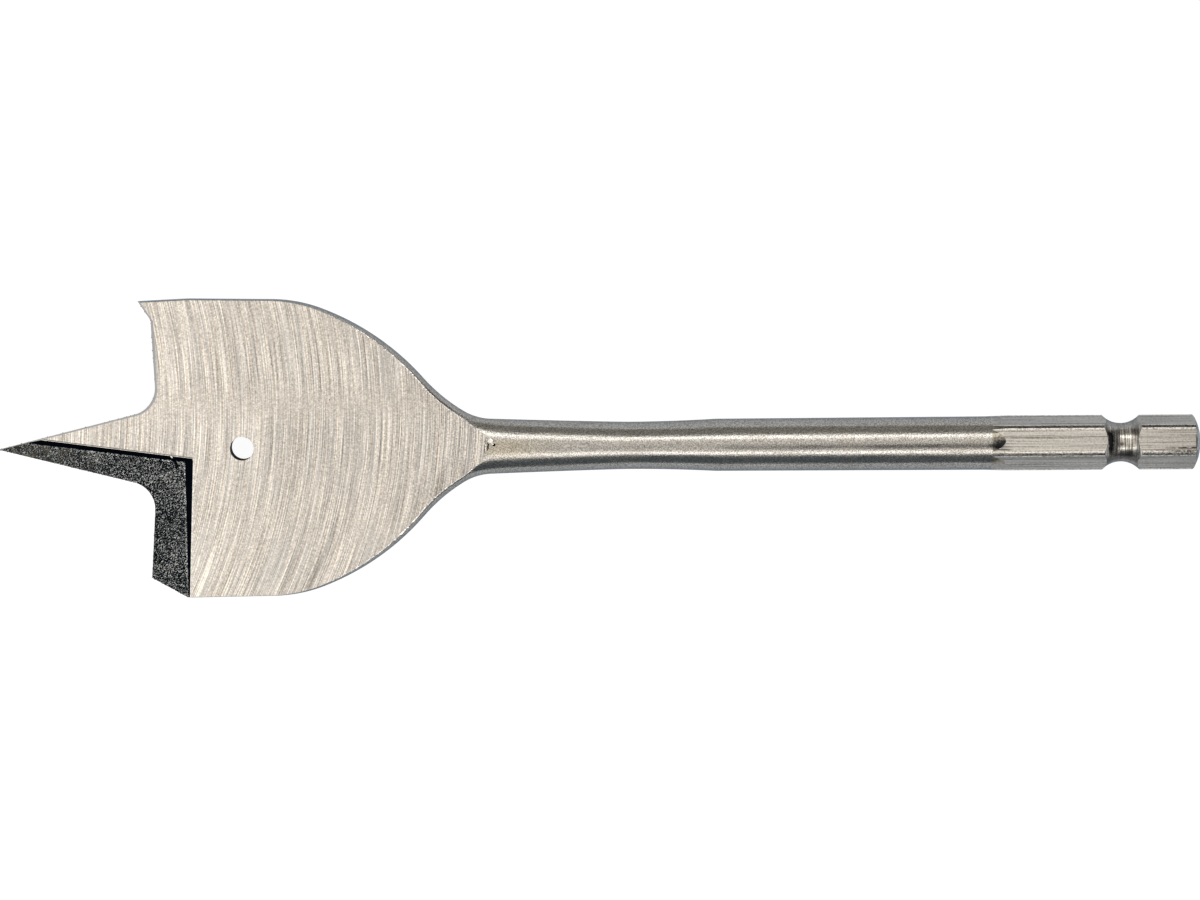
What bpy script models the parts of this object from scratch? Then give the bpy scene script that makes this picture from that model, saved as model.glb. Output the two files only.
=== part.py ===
"""Spade drill bit with a hexagonal quick-change shank, for a 38 mm hole in wood.

The bit is one piece of tool steel, and it is modelled in the order in which it is made. A round bar is
forged to a rod, a neck and a flat blade with rounded shoulders. The blade's two faces are ground flat
and run out up the neck, the gullets that shape the wings and the point are cut with a lean that gives
the edges their clearance, and a rake recess is ground into the leading face of each wing. Last come the
hole and the drive: six flats with a turned run-out, and the detent groove.

The bit lies along X. The origin is the middle of the shank's end face, the point lies at -X, the wings
spread along Y, and the blade's faces look along Z. The front, +Z, is the leading face of the wing at -Y,
and the back is the leading face of the wing at +Y. All sizes are in metres, and angles in degrees.
"""

import math
from typing import NamedTuple

import bmesh
import bpy
from mathutils import Matrix, Vector

# Overall length, from the shank's end face to the tip of the point
OVERALL_LENGTH = 0.1521

# Blade
BLADE_WIDTH = 0.0380
BLADE_THICKNESS = 0.0030
FORGED_THICKNESS = 0.0033
BLADE_STRAIGHT = 0.0145  # from the cutting edges, taken to the axis, back to the start of the shoulders
BACK_TAPER_DEG = 0.8
SPUR_SIDE_TAPER_DEG = 2.6
SPUR_SIDE_LENGTH = 0.0042  # how far the spur's tapered side reaches behind the cutting edges

# Shoulders: four tangent arcs from the blade's side to the neck, and the slopes where they meet
SHOULDER_CORNER_RADIUS = 0.0183
SHOULDER_CORNER_DEG = 21.0
SHOULDER_STEEPEST_DEG = 48.8
SHOULDER_HOLLOW_RADIUS = 0.0215
SHOULDER_HOLLOW_DEG = 31.1
NECK_FILLET_RADIUS = 0.0071
EDGE_ROUND_AT_NECK = 0.00145
EDGE_ROUND_AT_BLADE = 0.00030
EDGE_OPEN_LENGTH = 0.0036  # ahead of the neck, over which a flat land opens between the edges

# Neck and rod
NECK_WIDTH = 0.0070
NECK_THICKNESS = 0.0053
NECK_LENGTH = 0.0173  # from the end of the shoulder's fillet back to the waist
NECK_GROWTH_POWER = 1.2  # how the width grows from the waist to the neck
WEB_SETBACK = 0.0061  # from the neck forward to where the blade's even thickness begins
WEB_BLEND_LENGTH = 0.0090  # from there back, over which the forging thickens to the neck
GROUND_END_SETBACK = 0.0006  # from the neck forward to the end of the ground faces
GROUND_RISE_SHARE = 0.875  # how much of the forging's thickening the ground faces follow up to their end
WAIST_DIAMETER = 0.0060
WAIST_LENGTH = 0.0112  # from the waist back to the full rod
ROD_FRONT_DIAMETER = 0.00662
ROD_BACK_DIAMETER = 0.00678

# Wings and point
POINT_LENGTH = 0.0200  # from the tip back to the cutting edges, taken to the axis
POINT_HALF_ANGLE_DEG = 13.9
POINT_FILLET_RADIUS = 0.00355
WING_EDGE_DEG = 2.6  # how far the cutting edges lean forward towards the side
SPUR_WIDTH = 0.0028
SPUR_ANGLE_DEG = 33.6
CLEARANCE_DEG = 13.0
CUT_CORNER_WIDTH = 0.0026
CUT_CORNER_LENGTH = 0.0047

# Rake recess, one in each face
RECESS_DEPTH = 0.0010  # at the axis
RECESS_TILT_DEG = 2.7  # the floor rises towards the side
RECESS_SETBACK = 0.0047  # from the cutting edges back to the corner of the recess
RECESS_CORNER_OFFSET = 0.0012  # from the axis to the corner of the recess
RECESS_CORNER_RADIUS = 0.0002
RECESS_CORNER_STEPS = 3
POINT_WALL_DEG = 7.4  # the wall along the point, against the axis
POINT_WALL_SLOPE_DEG = 60.0
WING_WALL_DEG = 2.1  # the wall behind the cutting edge, against Y
WING_WALL_SLOPE_DEG = 42.0

# Hole in the blade
HOLE_DIAMETER = 0.0030
HOLE_SETBACK = 0.0108  # from the cutting edges back to the hole

# Drive end
HEX_ACROSS_FLATS = 0.0062
HEX_CORNER_DIAMETER = 0.00695
HEX_LENGTH = 0.0264
HEX_TURN_DEG = 9.5  # how far the hexagon's front flat is turned from the blade's front towards +Y
RUNOUT_LENGTH = 0.0016
END_DOME_RADIUS = 0.0068
END_FACE_DIAMETER = 0.0024
GROOVE_POSITION = 0.0100
GROOVE_ROOT_DIAMETER = 0.00488
GROOVE_RADIUS = 0.00323

# Facets
QUARTER_STEPS = 10
ROD_STEPS = 6
WAIST_STEPS = 6
NECK_STEPS = 8
WEB_STEPS = 6
GROUND_RISE_STEPS = 10
ARC_STEPS = 8
DOME_STEPS = 5
FILLET_STEPS = 8
ROUND_SEGMENTS = 40
GROOVE_SEGMENTS = 48

# An edge sharper than this is shaded as an edge
SHARP_EDGE_DEG = 24.0

# How far a cutter reaches past the steel
OVERCUT = 0.004

# Points closer than this are one point, and faces closer to parallel than this angle face the same way
MERGE_DISTANCE = 1e-7
SAME_DIRECTION = 0.01

# Name of the collection of cutters
CUTTERS = "cutters"

# Places that follow from the sizes
TIP_X = -OVERALL_LENGTH
WINGS_X = TIP_X + POINT_LENGTH
SHOULDER_X = WINGS_X + BLADE_STRAIGHT
HALF_WIDTH = BLADE_WIDTH / 2
HALF_THICKNESS = BLADE_THICKNESS / 2
CLEARANCE_LEAN = math.tan(math.radians(CLEARANCE_DEG))
CUTTING_PLANE = HALF_THICKNESS - RECESS_DEPTH / 2  # mean height of the cutting edges off the mid plane


class Section(NamedTuple):
    """A cross-section of the forging: a slab whose two edges are rounded in by `edge`."""

    x: float
    half_width: float
    half_thickness: float
    edge: float


class Arc(NamedTuple):
    """One arc of the shoulder: its radius, and the slope where it begins and ends."""

    radius: float
    start: float
    end: float


def smooth(value: float, low: float, high: float) -> float:
    """0 at low, 1 at high, level at both ends."""
    share = min(max((value - low) / (high - low), 0.0), 1.0)
    return share * share * (3 - 2 * share)


def blend(share: float, first: float, second: float) -> float:
    """The value that lies this share of the way from first to second."""
    return first + (second - first) * share


def round_section(x: float, diameter: float) -> Section:
    """A section of the rod."""
    return Section(x, diameter / 2, diameter / 2, diameter / 2)


def neck_slope() -> float:
    """The slope at which the neck widens where the shoulder's fillet meets it."""
    return math.atan(NECK_GROWTH_POWER * (NECK_WIDTH - WAIST_DIAMETER) / 2 / NECK_LENGTH)


def shoulder_side_at_start() -> float:
    """Half the blade's width where the shoulder begins."""
    straight = BLADE_STRAIGHT - SPUR_SIDE_LENGTH
    return HALF_WIDTH - straight * math.tan(math.radians(BACK_TAPER_DEG))


def shoulder_arcs() -> list[Arc]:
    """The shoulder's corner, flank, hollow and fillet. The flank's radius follows from the other sizes."""
    corner = math.radians(SHOULDER_CORNER_DEG)
    steepest = math.radians(SHOULDER_STEEPEST_DEG)
    hollow = math.radians(SHOULDER_HOLLOW_DEG)
    drop = shoulder_side_at_start() - NECK_WIDTH / 2
    drop -= SHOULDER_CORNER_RADIUS * (1 - math.cos(corner))
    drop -= SHOULDER_HOLLOW_RADIUS * (math.cos(hollow) - math.cos(steepest))
    drop -= NECK_FILLET_RADIUS * (math.cos(neck_slope()) - math.cos(hollow))
    flank_radius = drop / (math.cos(corner) - math.cos(steepest))
    return [
        Arc(SHOULDER_CORNER_RADIUS, 0.0, corner),
        Arc(flank_radius, corner, steepest),
        Arc(SHOULDER_HOLLOW_RADIUS, steepest, hollow),
        Arc(NECK_FILLET_RADIUS, hollow, neck_slope()),
    ]


def shoulder_points() -> list[tuple[float, float, float]]:
    """Points (x, half width, slope) along the shoulder, from the blade to the neck."""
    x = SHOULDER_X
    half_width = shoulder_side_at_start()
    points = [(x, half_width, 0.0)]
    for arc in shoulder_arcs():
        turn = 1 if arc.end > arc.start else -1
        for step in range(1, ARC_STEPS + 1):
            slope = blend(step / ARC_STEPS, arc.start, arc.end)
            points.append(
                (
                    x + turn * arc.radius * (math.sin(slope) - math.sin(arc.start)),
                    half_width - turn * arc.radius * (math.cos(arc.start) - math.cos(slope)),
                    slope,
                )
            )
        x, half_width, _ = points[-1]
    return points


def dome_sections() -> list[Section]:
    """The domed end of the shank, from its flat end face to the full size of the bar."""

    def depth(radius: float) -> float:
        return END_DOME_RADIUS - math.sqrt(END_DOME_RADIUS**2 - radius**2)

    flat = END_FACE_DIAMETER / 2
    full = HEX_CORNER_DIAMETER / 2
    radii = [blend(step / DOME_STEPS, flat, full) for step in range(DOME_STEPS + 1)]
    return [round_section(depth(flat) - depth(radius), 2 * radius) for radius in radii]


def rod_sections(neck_x: float) -> list[Section]:
    """The bar behind the neck: the drive's blank, the rod and its waist."""
    waist_x = neck_x + NECK_LENGTH
    front_x = waist_x + WAIST_LENGTH
    back_x = -HEX_LENGTH - RUNOUT_LENGTH / 2
    sections = [round_section(-HEX_LENGTH + RUNOUT_LENGTH, HEX_CORNER_DIAMETER)]
    for step in range(ROD_STEPS + 1):
        share = step / ROD_STEPS
        diameter = blend(share, ROD_BACK_DIAMETER, ROD_FRONT_DIAMETER)
        sections.append(round_section(blend(share, back_x, front_x), diameter))
    for step in range(1, WAIST_STEPS + 1):
        share = step / WAIST_STEPS
        diameter = blend((1 - share) ** 2, WAIST_DIAMETER, ROD_FRONT_DIAMETER)
        sections.append(round_section(blend(share, front_x, waist_x), diameter))
    return sections


def neck_half_thickness(x: float, neck_x: float) -> float:
    """Half the forging's thickness from the waist to the blade's web."""
    share = min((neck_x + NECK_LENGTH - x) / NECK_LENGTH, 1.0)
    neck = blend(share, WAIST_DIAMETER, NECK_THICKNESS) / 2
    web_x = neck_x - WEB_SETBACK
    return blend(smooth(x, web_x, web_x + WEB_BLEND_LENGTH), FORGED_THICKNESS / 2, neck)


def ground_height(x: float, neck_x: float) -> float:
    """How far a ground face lies off the mid plane: it is flat, and runs out up the neck."""
    return HALF_THICKNESS + GROUND_RISE_SHARE * (neck_half_thickness(x, neck_x) - FORGED_THICKNESS / 2)


def neck_sections(neck_x: float) -> list[Section]:
    """From the waist to the neck: it widens and flattens, and stays oval."""
    web_end = neck_x - WEB_SETBACK + WEB_BLEND_LENGTH
    waist_x = neck_x + NECK_LENGTH
    places = [blend(step / NECK_STEPS, waist_x, web_end) for step in range(1, NECK_STEPS + 1)]
    places += [blend(step / WEB_STEPS, web_end, neck_x) for step in range(1, WEB_STEPS)]
    sections = []
    for x in places:
        grown = ((waist_x - x) / NECK_LENGTH) ** NECK_GROWTH_POWER
        half_width = blend(grown, WAIST_DIAMETER, NECK_WIDTH) / 2
        sections.append(Section(x, half_width, neck_half_thickness(x, neck_x), half_width))
    return sections


def shoulder_sections(points: list[tuple[float, float, float]]) -> list[Section]:
    """From the neck to the blade: the oval opens out to a slab with rounded edges."""
    neck_x = points[-1][0]
    sections = []
    for x, half_width, slope in reversed(points):
        share = (x - SHOULDER_X) / (neck_x - SHOULDER_X)
        rounding = blend(share, EDGE_ROUND_AT_BLADE, EDGE_ROUND_AT_NECK) / math.cos(slope)
        oval = smooth(x, neck_x - EDGE_OPEN_LENGTH, neck_x)
        edge = blend(oval, min(rounding, half_width), half_width)
        sections.append(Section(x, half_width, neck_half_thickness(x, neck_x), edge))
    return sections


def blade_sections() -> list[Section]:
    """The straight part of the blade and the stock from which the wings and the point are cut."""
    taper = math.tan(math.radians(SPUR_SIDE_TAPER_DEG))
    widest_x = WINGS_X + SPUR_SIDE_LENGTH
    end_x = TIP_X - OVERCUT / 2
    half_thickness = FORGED_THICKNESS / 2
    return [
        Section(widest_x, HALF_WIDTH, half_thickness, EDGE_ROUND_AT_BLADE),
        Section(end_x, HALF_WIDTH - (widest_x - end_x) * taper, half_thickness, EDGE_ROUND_AT_BLADE),
    ]


def section_ring(section: Section) -> list[Vector]:
    """Points round one section, anticlockwise seen from +X."""
    land = section.half_width - section.edge
    ring = []
    for y_sign, z_sign, rising in ((1, 1, True), (-1, 1, False), (-1, -1, True), (1, -1, False)):
        for step in range(QUARTER_STEPS + 1):
            share = step / QUARTER_STEPS if rising else 1 - step / QUARTER_STEPS
            angle = share * math.pi / 2
            y = y_sign * (land + section.edge * math.cos(angle))
            z = z_sign * section.half_thickness * math.sin(angle)
            ring.append(Vector((section.x, y, z)))
    return ring


def material(name: str, colour: tuple[float, float, float], roughness: float) -> bpy.types.Material:
    """A bare steel finish."""
    made = bpy.data.materials.new(name)
    made.use_nodes = True
    surface = made.node_tree.nodes["Principled BSDF"]
    surface.inputs["Base Color"].default_value = (*colour, 1.0)
    surface.inputs["Metallic"].default_value = 1.0
    surface.inputs["Roughness"].default_value = roughness
    return made


def finished_object(
    name: str, bm: bmesh.types.BMesh, collection: bpy.types.Collection, finish: bpy.types.Material
) -> bpy.types.Object:
    """Turns a bmesh into an object with its finish."""
    mesh = bpy.data.meshes.new(name)
    bm.to_mesh(mesh)
    bm.free()
    mesh.materials.append(finish)
    made = bpy.data.objects.new(name, mesh)
    collection.objects.link(made)
    if collection.name == CUTTERS:
        made.hide_render = True
        made.display_type = "WIRE"
    return made


def forging(collection: bpy.types.Collection, finish: bpy.types.Material) -> bpy.types.Object:
    """The forged blank, lofted from the shank's end to past the point."""
    shoulder = shoulder_points()
    neck_x = shoulder[-1][0]
    sections = dome_sections() + rod_sections(neck_x) + neck_sections(neck_x)
    sections += shoulder_sections(shoulder) + blade_sections()
    bm = bmesh.new()
    rings = [[bm.verts.new(point) for point in section_ring(section)] for section in sections]
    for ring, following in zip(rings[:-1], rings[1:], strict=True):
        for i, corner in enumerate(ring):
            after = (i + 1) % len(ring)
            bm.faces.new((corner, ring[after], following[after], following[i]))
    bm.faces.new(rings[0])
    bm.faces.new(rings[-1])
    bmesh.ops.remove_doubles(bm, verts=bm.verts, dist=MERGE_DISTANCE)
    bmesh.ops.recalc_face_normals(bm, faces=bm.faces)
    return finished_object("spade_drill_bit", bm, collection, finish)


def fillet(before: Vector, corner: Vector, after: Vector, radius: float) -> list[Vector]:
    """Points along the arc that rounds a corner of an outline."""
    entering = (before - corner).normalized()
    leaving = (after - corner).normalized()
    half_angle = entering.angle(leaving) / 2
    reach = radius / math.tan(half_angle)
    centre = corner + (entering + leaving).normalized() * radius / math.sin(half_angle)
    start = corner + entering * reach - centre
    end = corner + leaving * reach - centre
    sweep = start.angle_signed(end)
    points = []
    for step in range(FILLET_STEPS + 1):
        turned = Matrix.Rotation(-sweep * step / FILLET_STEPS, 2) @ start
        points.append(centre + turned)
    return points


def flat_prism(
    name: str, outline: list[Vector], collection: bpy.types.Collection, finish: bpy.types.Material
) -> bpy.types.Object:
    """A flat outline in XY, extruded through the whole thickness of the blade and more."""
    curve = bpy.data.curves.new(name, "CURVE")
    curve.dimensions = "2D"
    curve.fill_mode = "BOTH"
    curve.extrude = OVERCUT
    spline = curve.splines.new("POLY")
    spline.points.add(len(outline) - 1)
    for point, place in zip(spline.points, outline, strict=True):
        point.co = (place.x, place.y, 0.0, 1.0)
    spline.use_cyclic_u = True
    guide = bpy.data.objects.new(name, curve)
    bpy.context.scene.collection.objects.link(guide)
    evaluated = guide.evaluated_get(bpy.context.evaluated_depsgraph_get())
    mesh = bpy.data.meshes.new_from_object(evaluated)
    bpy.data.objects.remove(guide)
    bm = bmesh.new()
    bm.from_mesh(mesh)
    bmesh.ops.remove_doubles(bm, verts=bm.verts, dist=MERGE_DISTANCE)
    bmesh.ops.recalc_face_normals(bm, faces=bm.faces)
    return finished_object(name, bm, collection, finish)


def cutting_edge_x(y: float) -> float:
    """Where the cutting edge of a wing lies along X at this distance from the axis."""
    return WINGS_X - y * math.tan(math.radians(WING_EDGE_DEG))


def gullet_outline() -> list[Vector]:
    """The space ahead of the wing at +Y: the point's flank, the fillet, the cutting edge and the spur."""
    flank = math.tan(math.radians(POINT_HALF_ANGLE_DEG))
    tip_x = TIP_X - CLEARANCE_LEAN * CUTTING_PLANE
    root_y = flank * (WINGS_X - tip_x) / (1 + flank * math.tan(math.radians(WING_EDGE_DEG)))
    root = Vector((cutting_edge_x(root_y), root_y))
    start = Vector((tip_x - OVERCUT, -flank * OVERCUT))
    kink_y = HALF_WIDTH - SPUR_WIDTH
    kink = Vector((cutting_edge_x(kink_y), kink_y))
    reach = SPUR_WIDTH + OVERCUT
    outer = kink + Vector((-reach * math.tan(math.radians(SPUR_ANGLE_DEG)), reach))
    rounded = fillet(start, root, kink, POINT_FILLET_RADIUS)
    return [start, *rounded, kink, outer, Vector((start.x, outer.y))]


def gullet_cutters(collection: bpy.types.Collection, finish: bpy.types.Material) -> list[bpy.types.Object]:
    """The two gullets. Each leans back from its leading face, which gives the edges their clearance."""
    upper = flat_prism("gullet_upper", gullet_outline(), collection, finish)
    for vertex in upper.data.vertices:
        vertex.co.x += CLEARANCE_LEAN * (vertex.co.z + CUTTING_PLANE)
    return [upper, turned_half_way(upper, "gullet_lower", collection)]


def turned_half_way(
    source: bpy.types.Object, name: str, collection: bpy.types.Collection
) -> bpy.types.Object:
    """A copy of a cutter, turned half a turn about the tool's axis."""
    copy = source.copy()
    copy.name = name
    copy.data = source.data.copy()
    copy.data.transform(Matrix.Rotation(math.pi, 4, "X"))
    collection.objects.link(copy)
    return copy


def corner_cutter(collection: bpy.types.Collection, finish: bpy.types.Material) -> bpy.types.Object:
    """The slanted cut that takes the outer corner, with its spur, off the wing at -Y."""
    inner_y = HALF_WIDTH - CUT_CORNER_WIDTH
    inner = Vector((cutting_edge_x(inner_y), -inner_y))
    outer = Vector((inner.x + CUT_CORNER_LENGTH, -HALF_WIDTH))
    along = (outer - inner).normalized() * OVERCUT
    outline = [inner - along, outer + along, Vector(((inner - along).x, (outer + along).y))]
    return flat_prism("corner_cut", outline, collection, finish)


def recess_planes() -> list[tuple[Vector, Vector]]:
    """Three planes (point, outward normal) of the recess in the front: floor, point wall, wing wall."""
    tilt = math.radians(RECESS_TILT_DEG)
    floor_point = Vector((0.0, 0.0, HALF_THICKNESS - RECESS_DEPTH))
    floor_normal = Vector((0.0, -math.sin(tilt), -math.cos(tilt)))
    corner = Vector((WINGS_X + RECESS_SETBACK, -RECESS_CORNER_OFFSET, HALF_THICKNESS))
    point_wall = wall_normal(90 - POINT_WALL_DEG, POINT_WALL_SLOPE_DEG)
    wing_wall = wall_normal(-WING_WALL_DEG, WING_WALL_SLOPE_DEG)
    return [(floor_point, floor_normal), (corner, point_wall), (corner, wing_wall)]


def wall_normal(heading_deg: float, slope_deg: float) -> Vector:
    """The outward normal of a recess wall that faces this heading in XY and slopes this steeply."""
    heading = math.radians(heading_deg)
    slope = math.radians(slope_deg)
    level = math.sin(slope)
    return Vector((math.cos(heading) * level, math.sin(heading) * level, -math.cos(slope)))


def recess_cutters(collection: bpy.types.Collection, finish: bpy.types.Material) -> list[bpy.types.Object]:
    """The rake recesses: a block of stock trimmed to the floor and the two walls."""
    size = Vector((POINT_LENGTH + RECESS_SETBACK + 2 * OVERCUT, BLADE_WIDTH, 2 * OVERCUT))
    centre = Vector((TIP_X - OVERCUT + size.x / 2, -HALF_WIDTH / 2, OVERCUT))
    bm = bmesh.new()
    bmesh.ops.create_cube(bm, size=1.0, matrix=Matrix.Translation(centre) @ Matrix.Diagonal((*size, 1.0)))
    planes = recess_planes()
    for place, normal in planes:
        geometry = bm.verts[:] + bm.edges[:] + bm.faces[:]
        cut = bmesh.ops.bisect_plane(bm, geom=geometry, plane_co=place, plane_no=normal, clear_outer=True)
        rim = [item for item in cut["geom_cut"] if isinstance(item, bmesh.types.BMEdge)]
        bmesh.ops.contextual_create(bm, geom=rim)
    bmesh.ops.recalc_face_normals(bm, faces=bm.faces)
    walls = [normal for _, normal in planes[1:]]
    between = [
        edge
        for edge in bm.edges
        if all(any(face.normal.angle(wall) < SAME_DIRECTION for face in edge.link_faces) for wall in walls)
    ]
    bmesh.ops.bevel(
        bm,
        geom=between,
        offset=RECESS_CORNER_RADIUS,
        segments=RECESS_CORNER_STEPS,
        profile=0.5,
        affect="EDGES",
    )
    front = finished_object("recess_front", bm, collection, finish)
    return [front, turned_half_way(front, "recess_back", collection)]


def face_cutters(collection: bpy.types.Collection, finish: bpy.types.Material) -> list[bpy.types.Object]:
    """The grinding of the blade's two faces, which runs out up the neck and ends just ahead of it."""
    neck_x = shoulder_points()[-1][0]
    start_x = TIP_X - 2 * OVERCUT
    rise_x = neck_x - WEB_SETBACK
    end_x = neck_x - GROUND_END_SETBACK
    top = HALF_THICKNESS + OVERCUT
    places = [blend(step / GROUND_RISE_STEPS, rise_x, end_x) for step in range(GROUND_RISE_STEPS + 1)]
    risen = [(x, ground_height(x, neck_x)) for x in places]
    profile = [(start_x, top), (start_x, HALF_THICKNESS), *risen, (end_x, top)]
    bm = bmesh.new()
    near, far = ([bm.verts.new((x, y, z)) for x, z in profile] for y in (-BLADE_WIDTH, BLADE_WIDTH))
    bm.faces.new(near)
    bm.faces.new(far)
    for i, corner in enumerate(near):
        after = (i + 1) % len(near)
        bm.faces.new((corner, near[after], far[after], far[i]))
    bmesh.ops.recalc_face_normals(bm, faces=bm.faces)
    front = finished_object("ground_front", bm, collection, finish)
    return [front, turned_half_way(front, "ground_back", collection)]


def cone(
    segments: int, back_x: float, back_radius: float, front_x: float, front_radius: float, turn: float
) -> bmesh.types.BMesh:
    """A closed cone, cylinder or prism about the X axis, from back_x forward to front_x."""
    bm = bmesh.new()
    bmesh.ops.create_cone(
        bm,
        cap_ends=True,
        segments=segments,
        radius1=front_radius,
        radius2=back_radius,
        depth=back_x - front_x,
    )
    placed = Matrix.Translation(((back_x + front_x) / 2, 0.0, 0.0))
    bmesh.ops.transform(
        bm,
        matrix=placed @ Matrix.Rotation(turn, 4, "X") @ Matrix.Rotation(math.pi / 2, 4, "Y"),
        verts=bm.verts,
    )
    return bm


def hole_cutter(collection: bpy.types.Collection, finish: bpy.types.Material) -> bpy.types.Object:
    """The hole in the blade."""
    bm = bmesh.new()
    bmesh.ops.create_cone(
        bm,
        cap_ends=True,
        segments=ROUND_SEGMENTS,
        radius1=HOLE_DIAMETER / 2,
        radius2=HOLE_DIAMETER / 2,
        depth=2 * OVERCUT,
        matrix=Matrix.Translation((WINGS_X + HOLE_SETBACK, 0.0, 0.0)),
    )
    return finished_object("hole", bm, collection, finish)


def cut(target: bpy.types.Object, cutters: list[bpy.types.Object]) -> None:
    """Takes each cutter away from the target, which keeps the cutter's finish on the new faces."""
    for cutter in cutters:
        modifier = target.modifiers.new(cutter.name, "BOOLEAN")
        modifier.operation = "DIFFERENCE"
        modifier.solver = "EXACT"
        modifier.material_mode = "TRANSFER"
        modifier.object = cutter


def flats_cutter(collection: bpy.types.Collection, finish: bpy.types.Material) -> bpy.types.Object:
    """A sleeve whose bore is the hexagon, opened at its front end by the cone of the run-out."""
    start_x = -HEX_LENGTH + RUNOUT_LENGTH
    slope = (ROD_BACK_DIAMETER - HEX_ACROSS_FLATS) / 2 / RUNOUT_LENGTH
    opened = ROD_BACK_DIAMETER / 2 + slope * RUNOUT_LENGTH
    closed = HEX_ACROSS_FLATS / 2 - slope * RUNOUT_LENGTH
    sleeve_end = -HEX_LENGTH - RUNOUT_LENGTH / 2
    outer_radius = HEX_CORNER_DIAMETER / 2 + OVERCUT
    tube = cone(ROUND_SEGMENTS, OVERCUT, outer_radius, sleeve_end, outer_radius, 0.0)
    sleeve = finished_object("flats", tube, collection, finish)
    hex_radius = HEX_ACROSS_FLATS / math.sqrt(3)
    turn = -math.radians(HEX_TURN_DEG)
    prism = cone(6, 2 * OVERCUT, hex_radius, sleeve_end - OVERCUT, hex_radius, turn)
    runout = cone(
        ROUND_SEGMENTS, start_x + RUNOUT_LENGTH, closed, -HEX_LENGTH - RUNOUT_LENGTH, opened, 0.0
    )
    cores = [
        finished_object("hexagon", prism, collection, finish),
        finished_object("runout", runout, collection, finish),
    ]
    cut(sleeve, cores)
    return sleeve


def groove_cutter(collection: bpy.types.Collection, finish: bpy.types.Material) -> bpy.types.Object:
    """The ring that turns the detent groove."""
    bpy.ops.mesh.primitive_torus_add(
        major_radius=GROOVE_ROOT_DIAMETER / 2 + GROOVE_RADIUS,
        minor_radius=GROOVE_RADIUS,
        major_segments=ROUND_SEGMENTS,
        minor_segments=GROOVE_SEGMENTS,
    )
    ring = bpy.context.object
    bm = bmesh.new()
    bm.from_mesh(ring.data)
    bpy.data.objects.remove(ring)
    placed = Matrix.Translation((-GROOVE_POSITION, 0.0, 0.0))
    bmesh.ops.transform(bm, matrix=placed @ Matrix.Rotation(math.pi / 2, 4, "Y"), verts=bm.verts)
    return finished_object("groove", bm, collection, finish)


def apply_cuts(target: bpy.types.Object) -> None:
    """Makes the cuts part of the mesh, and shades its round stretches smooth."""
    evaluated = target.evaluated_get(bpy.context.evaluated_depsgraph_get())
    finished = bpy.data.meshes.new_from_object(evaluated)
    target.modifiers.clear()
    target.data = finished
    finished.shade_smooth()
    finished.set_sharp_from_angle(angle=math.radians(SHARP_EDGE_DEG))


def new_collection(name: str) -> bpy.types.Collection:
    """A collection in the scene."""
    made = bpy.data.collections.new(name)
    bpy.context.scene.collection.children.link(made)
    return made


def main() -> None:
    """Builds the bit."""
    for leftover in list(bpy.data.objects):
        bpy.data.objects.remove(leftover)
    bits = new_collection("spade_drill_bit")
    tools = new_collection(CUTTERS)
    forged = material("forged_steel", (0.42, 0.41, 0.40), 0.38)
    ground = material("ground_steel", (0.64, 0.60, 0.56), 0.32)
    blasted = material("blasted_steel", (0.07, 0.07, 0.075), 0.65)
    bit = forging(bits, forged)
    cut(bit, face_cutters(tools, ground))
    cut(bit, gullet_cutters(tools, ground))
    cut(bit, [corner_cutter(tools, ground)])
    cut(bit, recess_cutters(tools, blasted))
    cut(bit, [hole_cutter(tools, ground), flats_cutter(tools, forged), groove_cutter(tools, forged)])
    apply_cuts(bit)


main()
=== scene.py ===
"""Looks of the spade drill bit: the forged and ground steel piece, finely faceted, with its finishes.

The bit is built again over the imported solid, in the order in which it is made, with round stretches that
are smooth enough for polished reflections, with the small rims, rings, grit and burrs that a solid for
physics leaves out, and with a finish of its own on each kind of surface.

It lies along X. The origin is the middle of the shank's end face, the point lies at -X, the wings spread
along Y and the blade's faces look along Z. Sizes are in metres and angles in degrees, except in the
finishes, whose patterns are in millimetres and whose angles about the bar are in radians.
"""

import logging
import math
import random
from collections.abc import Iterable
from dataclasses import dataclass, field
from enum import Enum
from typing import NamedTuple

import bmesh
import bpy
from mathutils import Matrix, Vector


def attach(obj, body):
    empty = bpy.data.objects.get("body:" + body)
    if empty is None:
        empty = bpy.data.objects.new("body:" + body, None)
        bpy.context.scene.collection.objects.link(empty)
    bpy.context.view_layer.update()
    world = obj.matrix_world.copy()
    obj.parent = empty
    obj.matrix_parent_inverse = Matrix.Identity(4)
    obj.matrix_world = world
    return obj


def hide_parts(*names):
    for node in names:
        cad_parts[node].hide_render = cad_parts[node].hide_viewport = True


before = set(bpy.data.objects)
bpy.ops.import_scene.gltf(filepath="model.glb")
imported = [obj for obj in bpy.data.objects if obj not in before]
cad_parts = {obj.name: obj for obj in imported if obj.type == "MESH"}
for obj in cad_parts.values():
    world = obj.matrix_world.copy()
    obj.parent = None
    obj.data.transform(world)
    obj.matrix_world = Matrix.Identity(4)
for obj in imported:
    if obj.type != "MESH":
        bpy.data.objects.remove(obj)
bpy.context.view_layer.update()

LOG = logging.getLogger("spade_bit")
ROOT = "root"
NODE = "spade_drill_bit"
MM = 0.001
OVERCUT = 0.004
MERGE_DISTANCE = 2e-7
SHARP_EDGE_DEG = 18.0
SAME_DIRECTION_RAD = 0.01
HEX_SIDES = 6
HEX_TURN_DEG = 9.5
BAR_RADIUS_MM = 3.3
WHITE = (1.0, 1.0, 1.0)

Piece = bpy.types.Object
Socket = bpy.types.NodeSocket
Mesh = bmesh.types.BMesh
Corner = bmesh.types.BMVert
Triple = tuple[float, float, float]
Colour = tuple[float, float, float]
Span = tuple[float, float]
Range = tuple[float, float, float, float]


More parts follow.
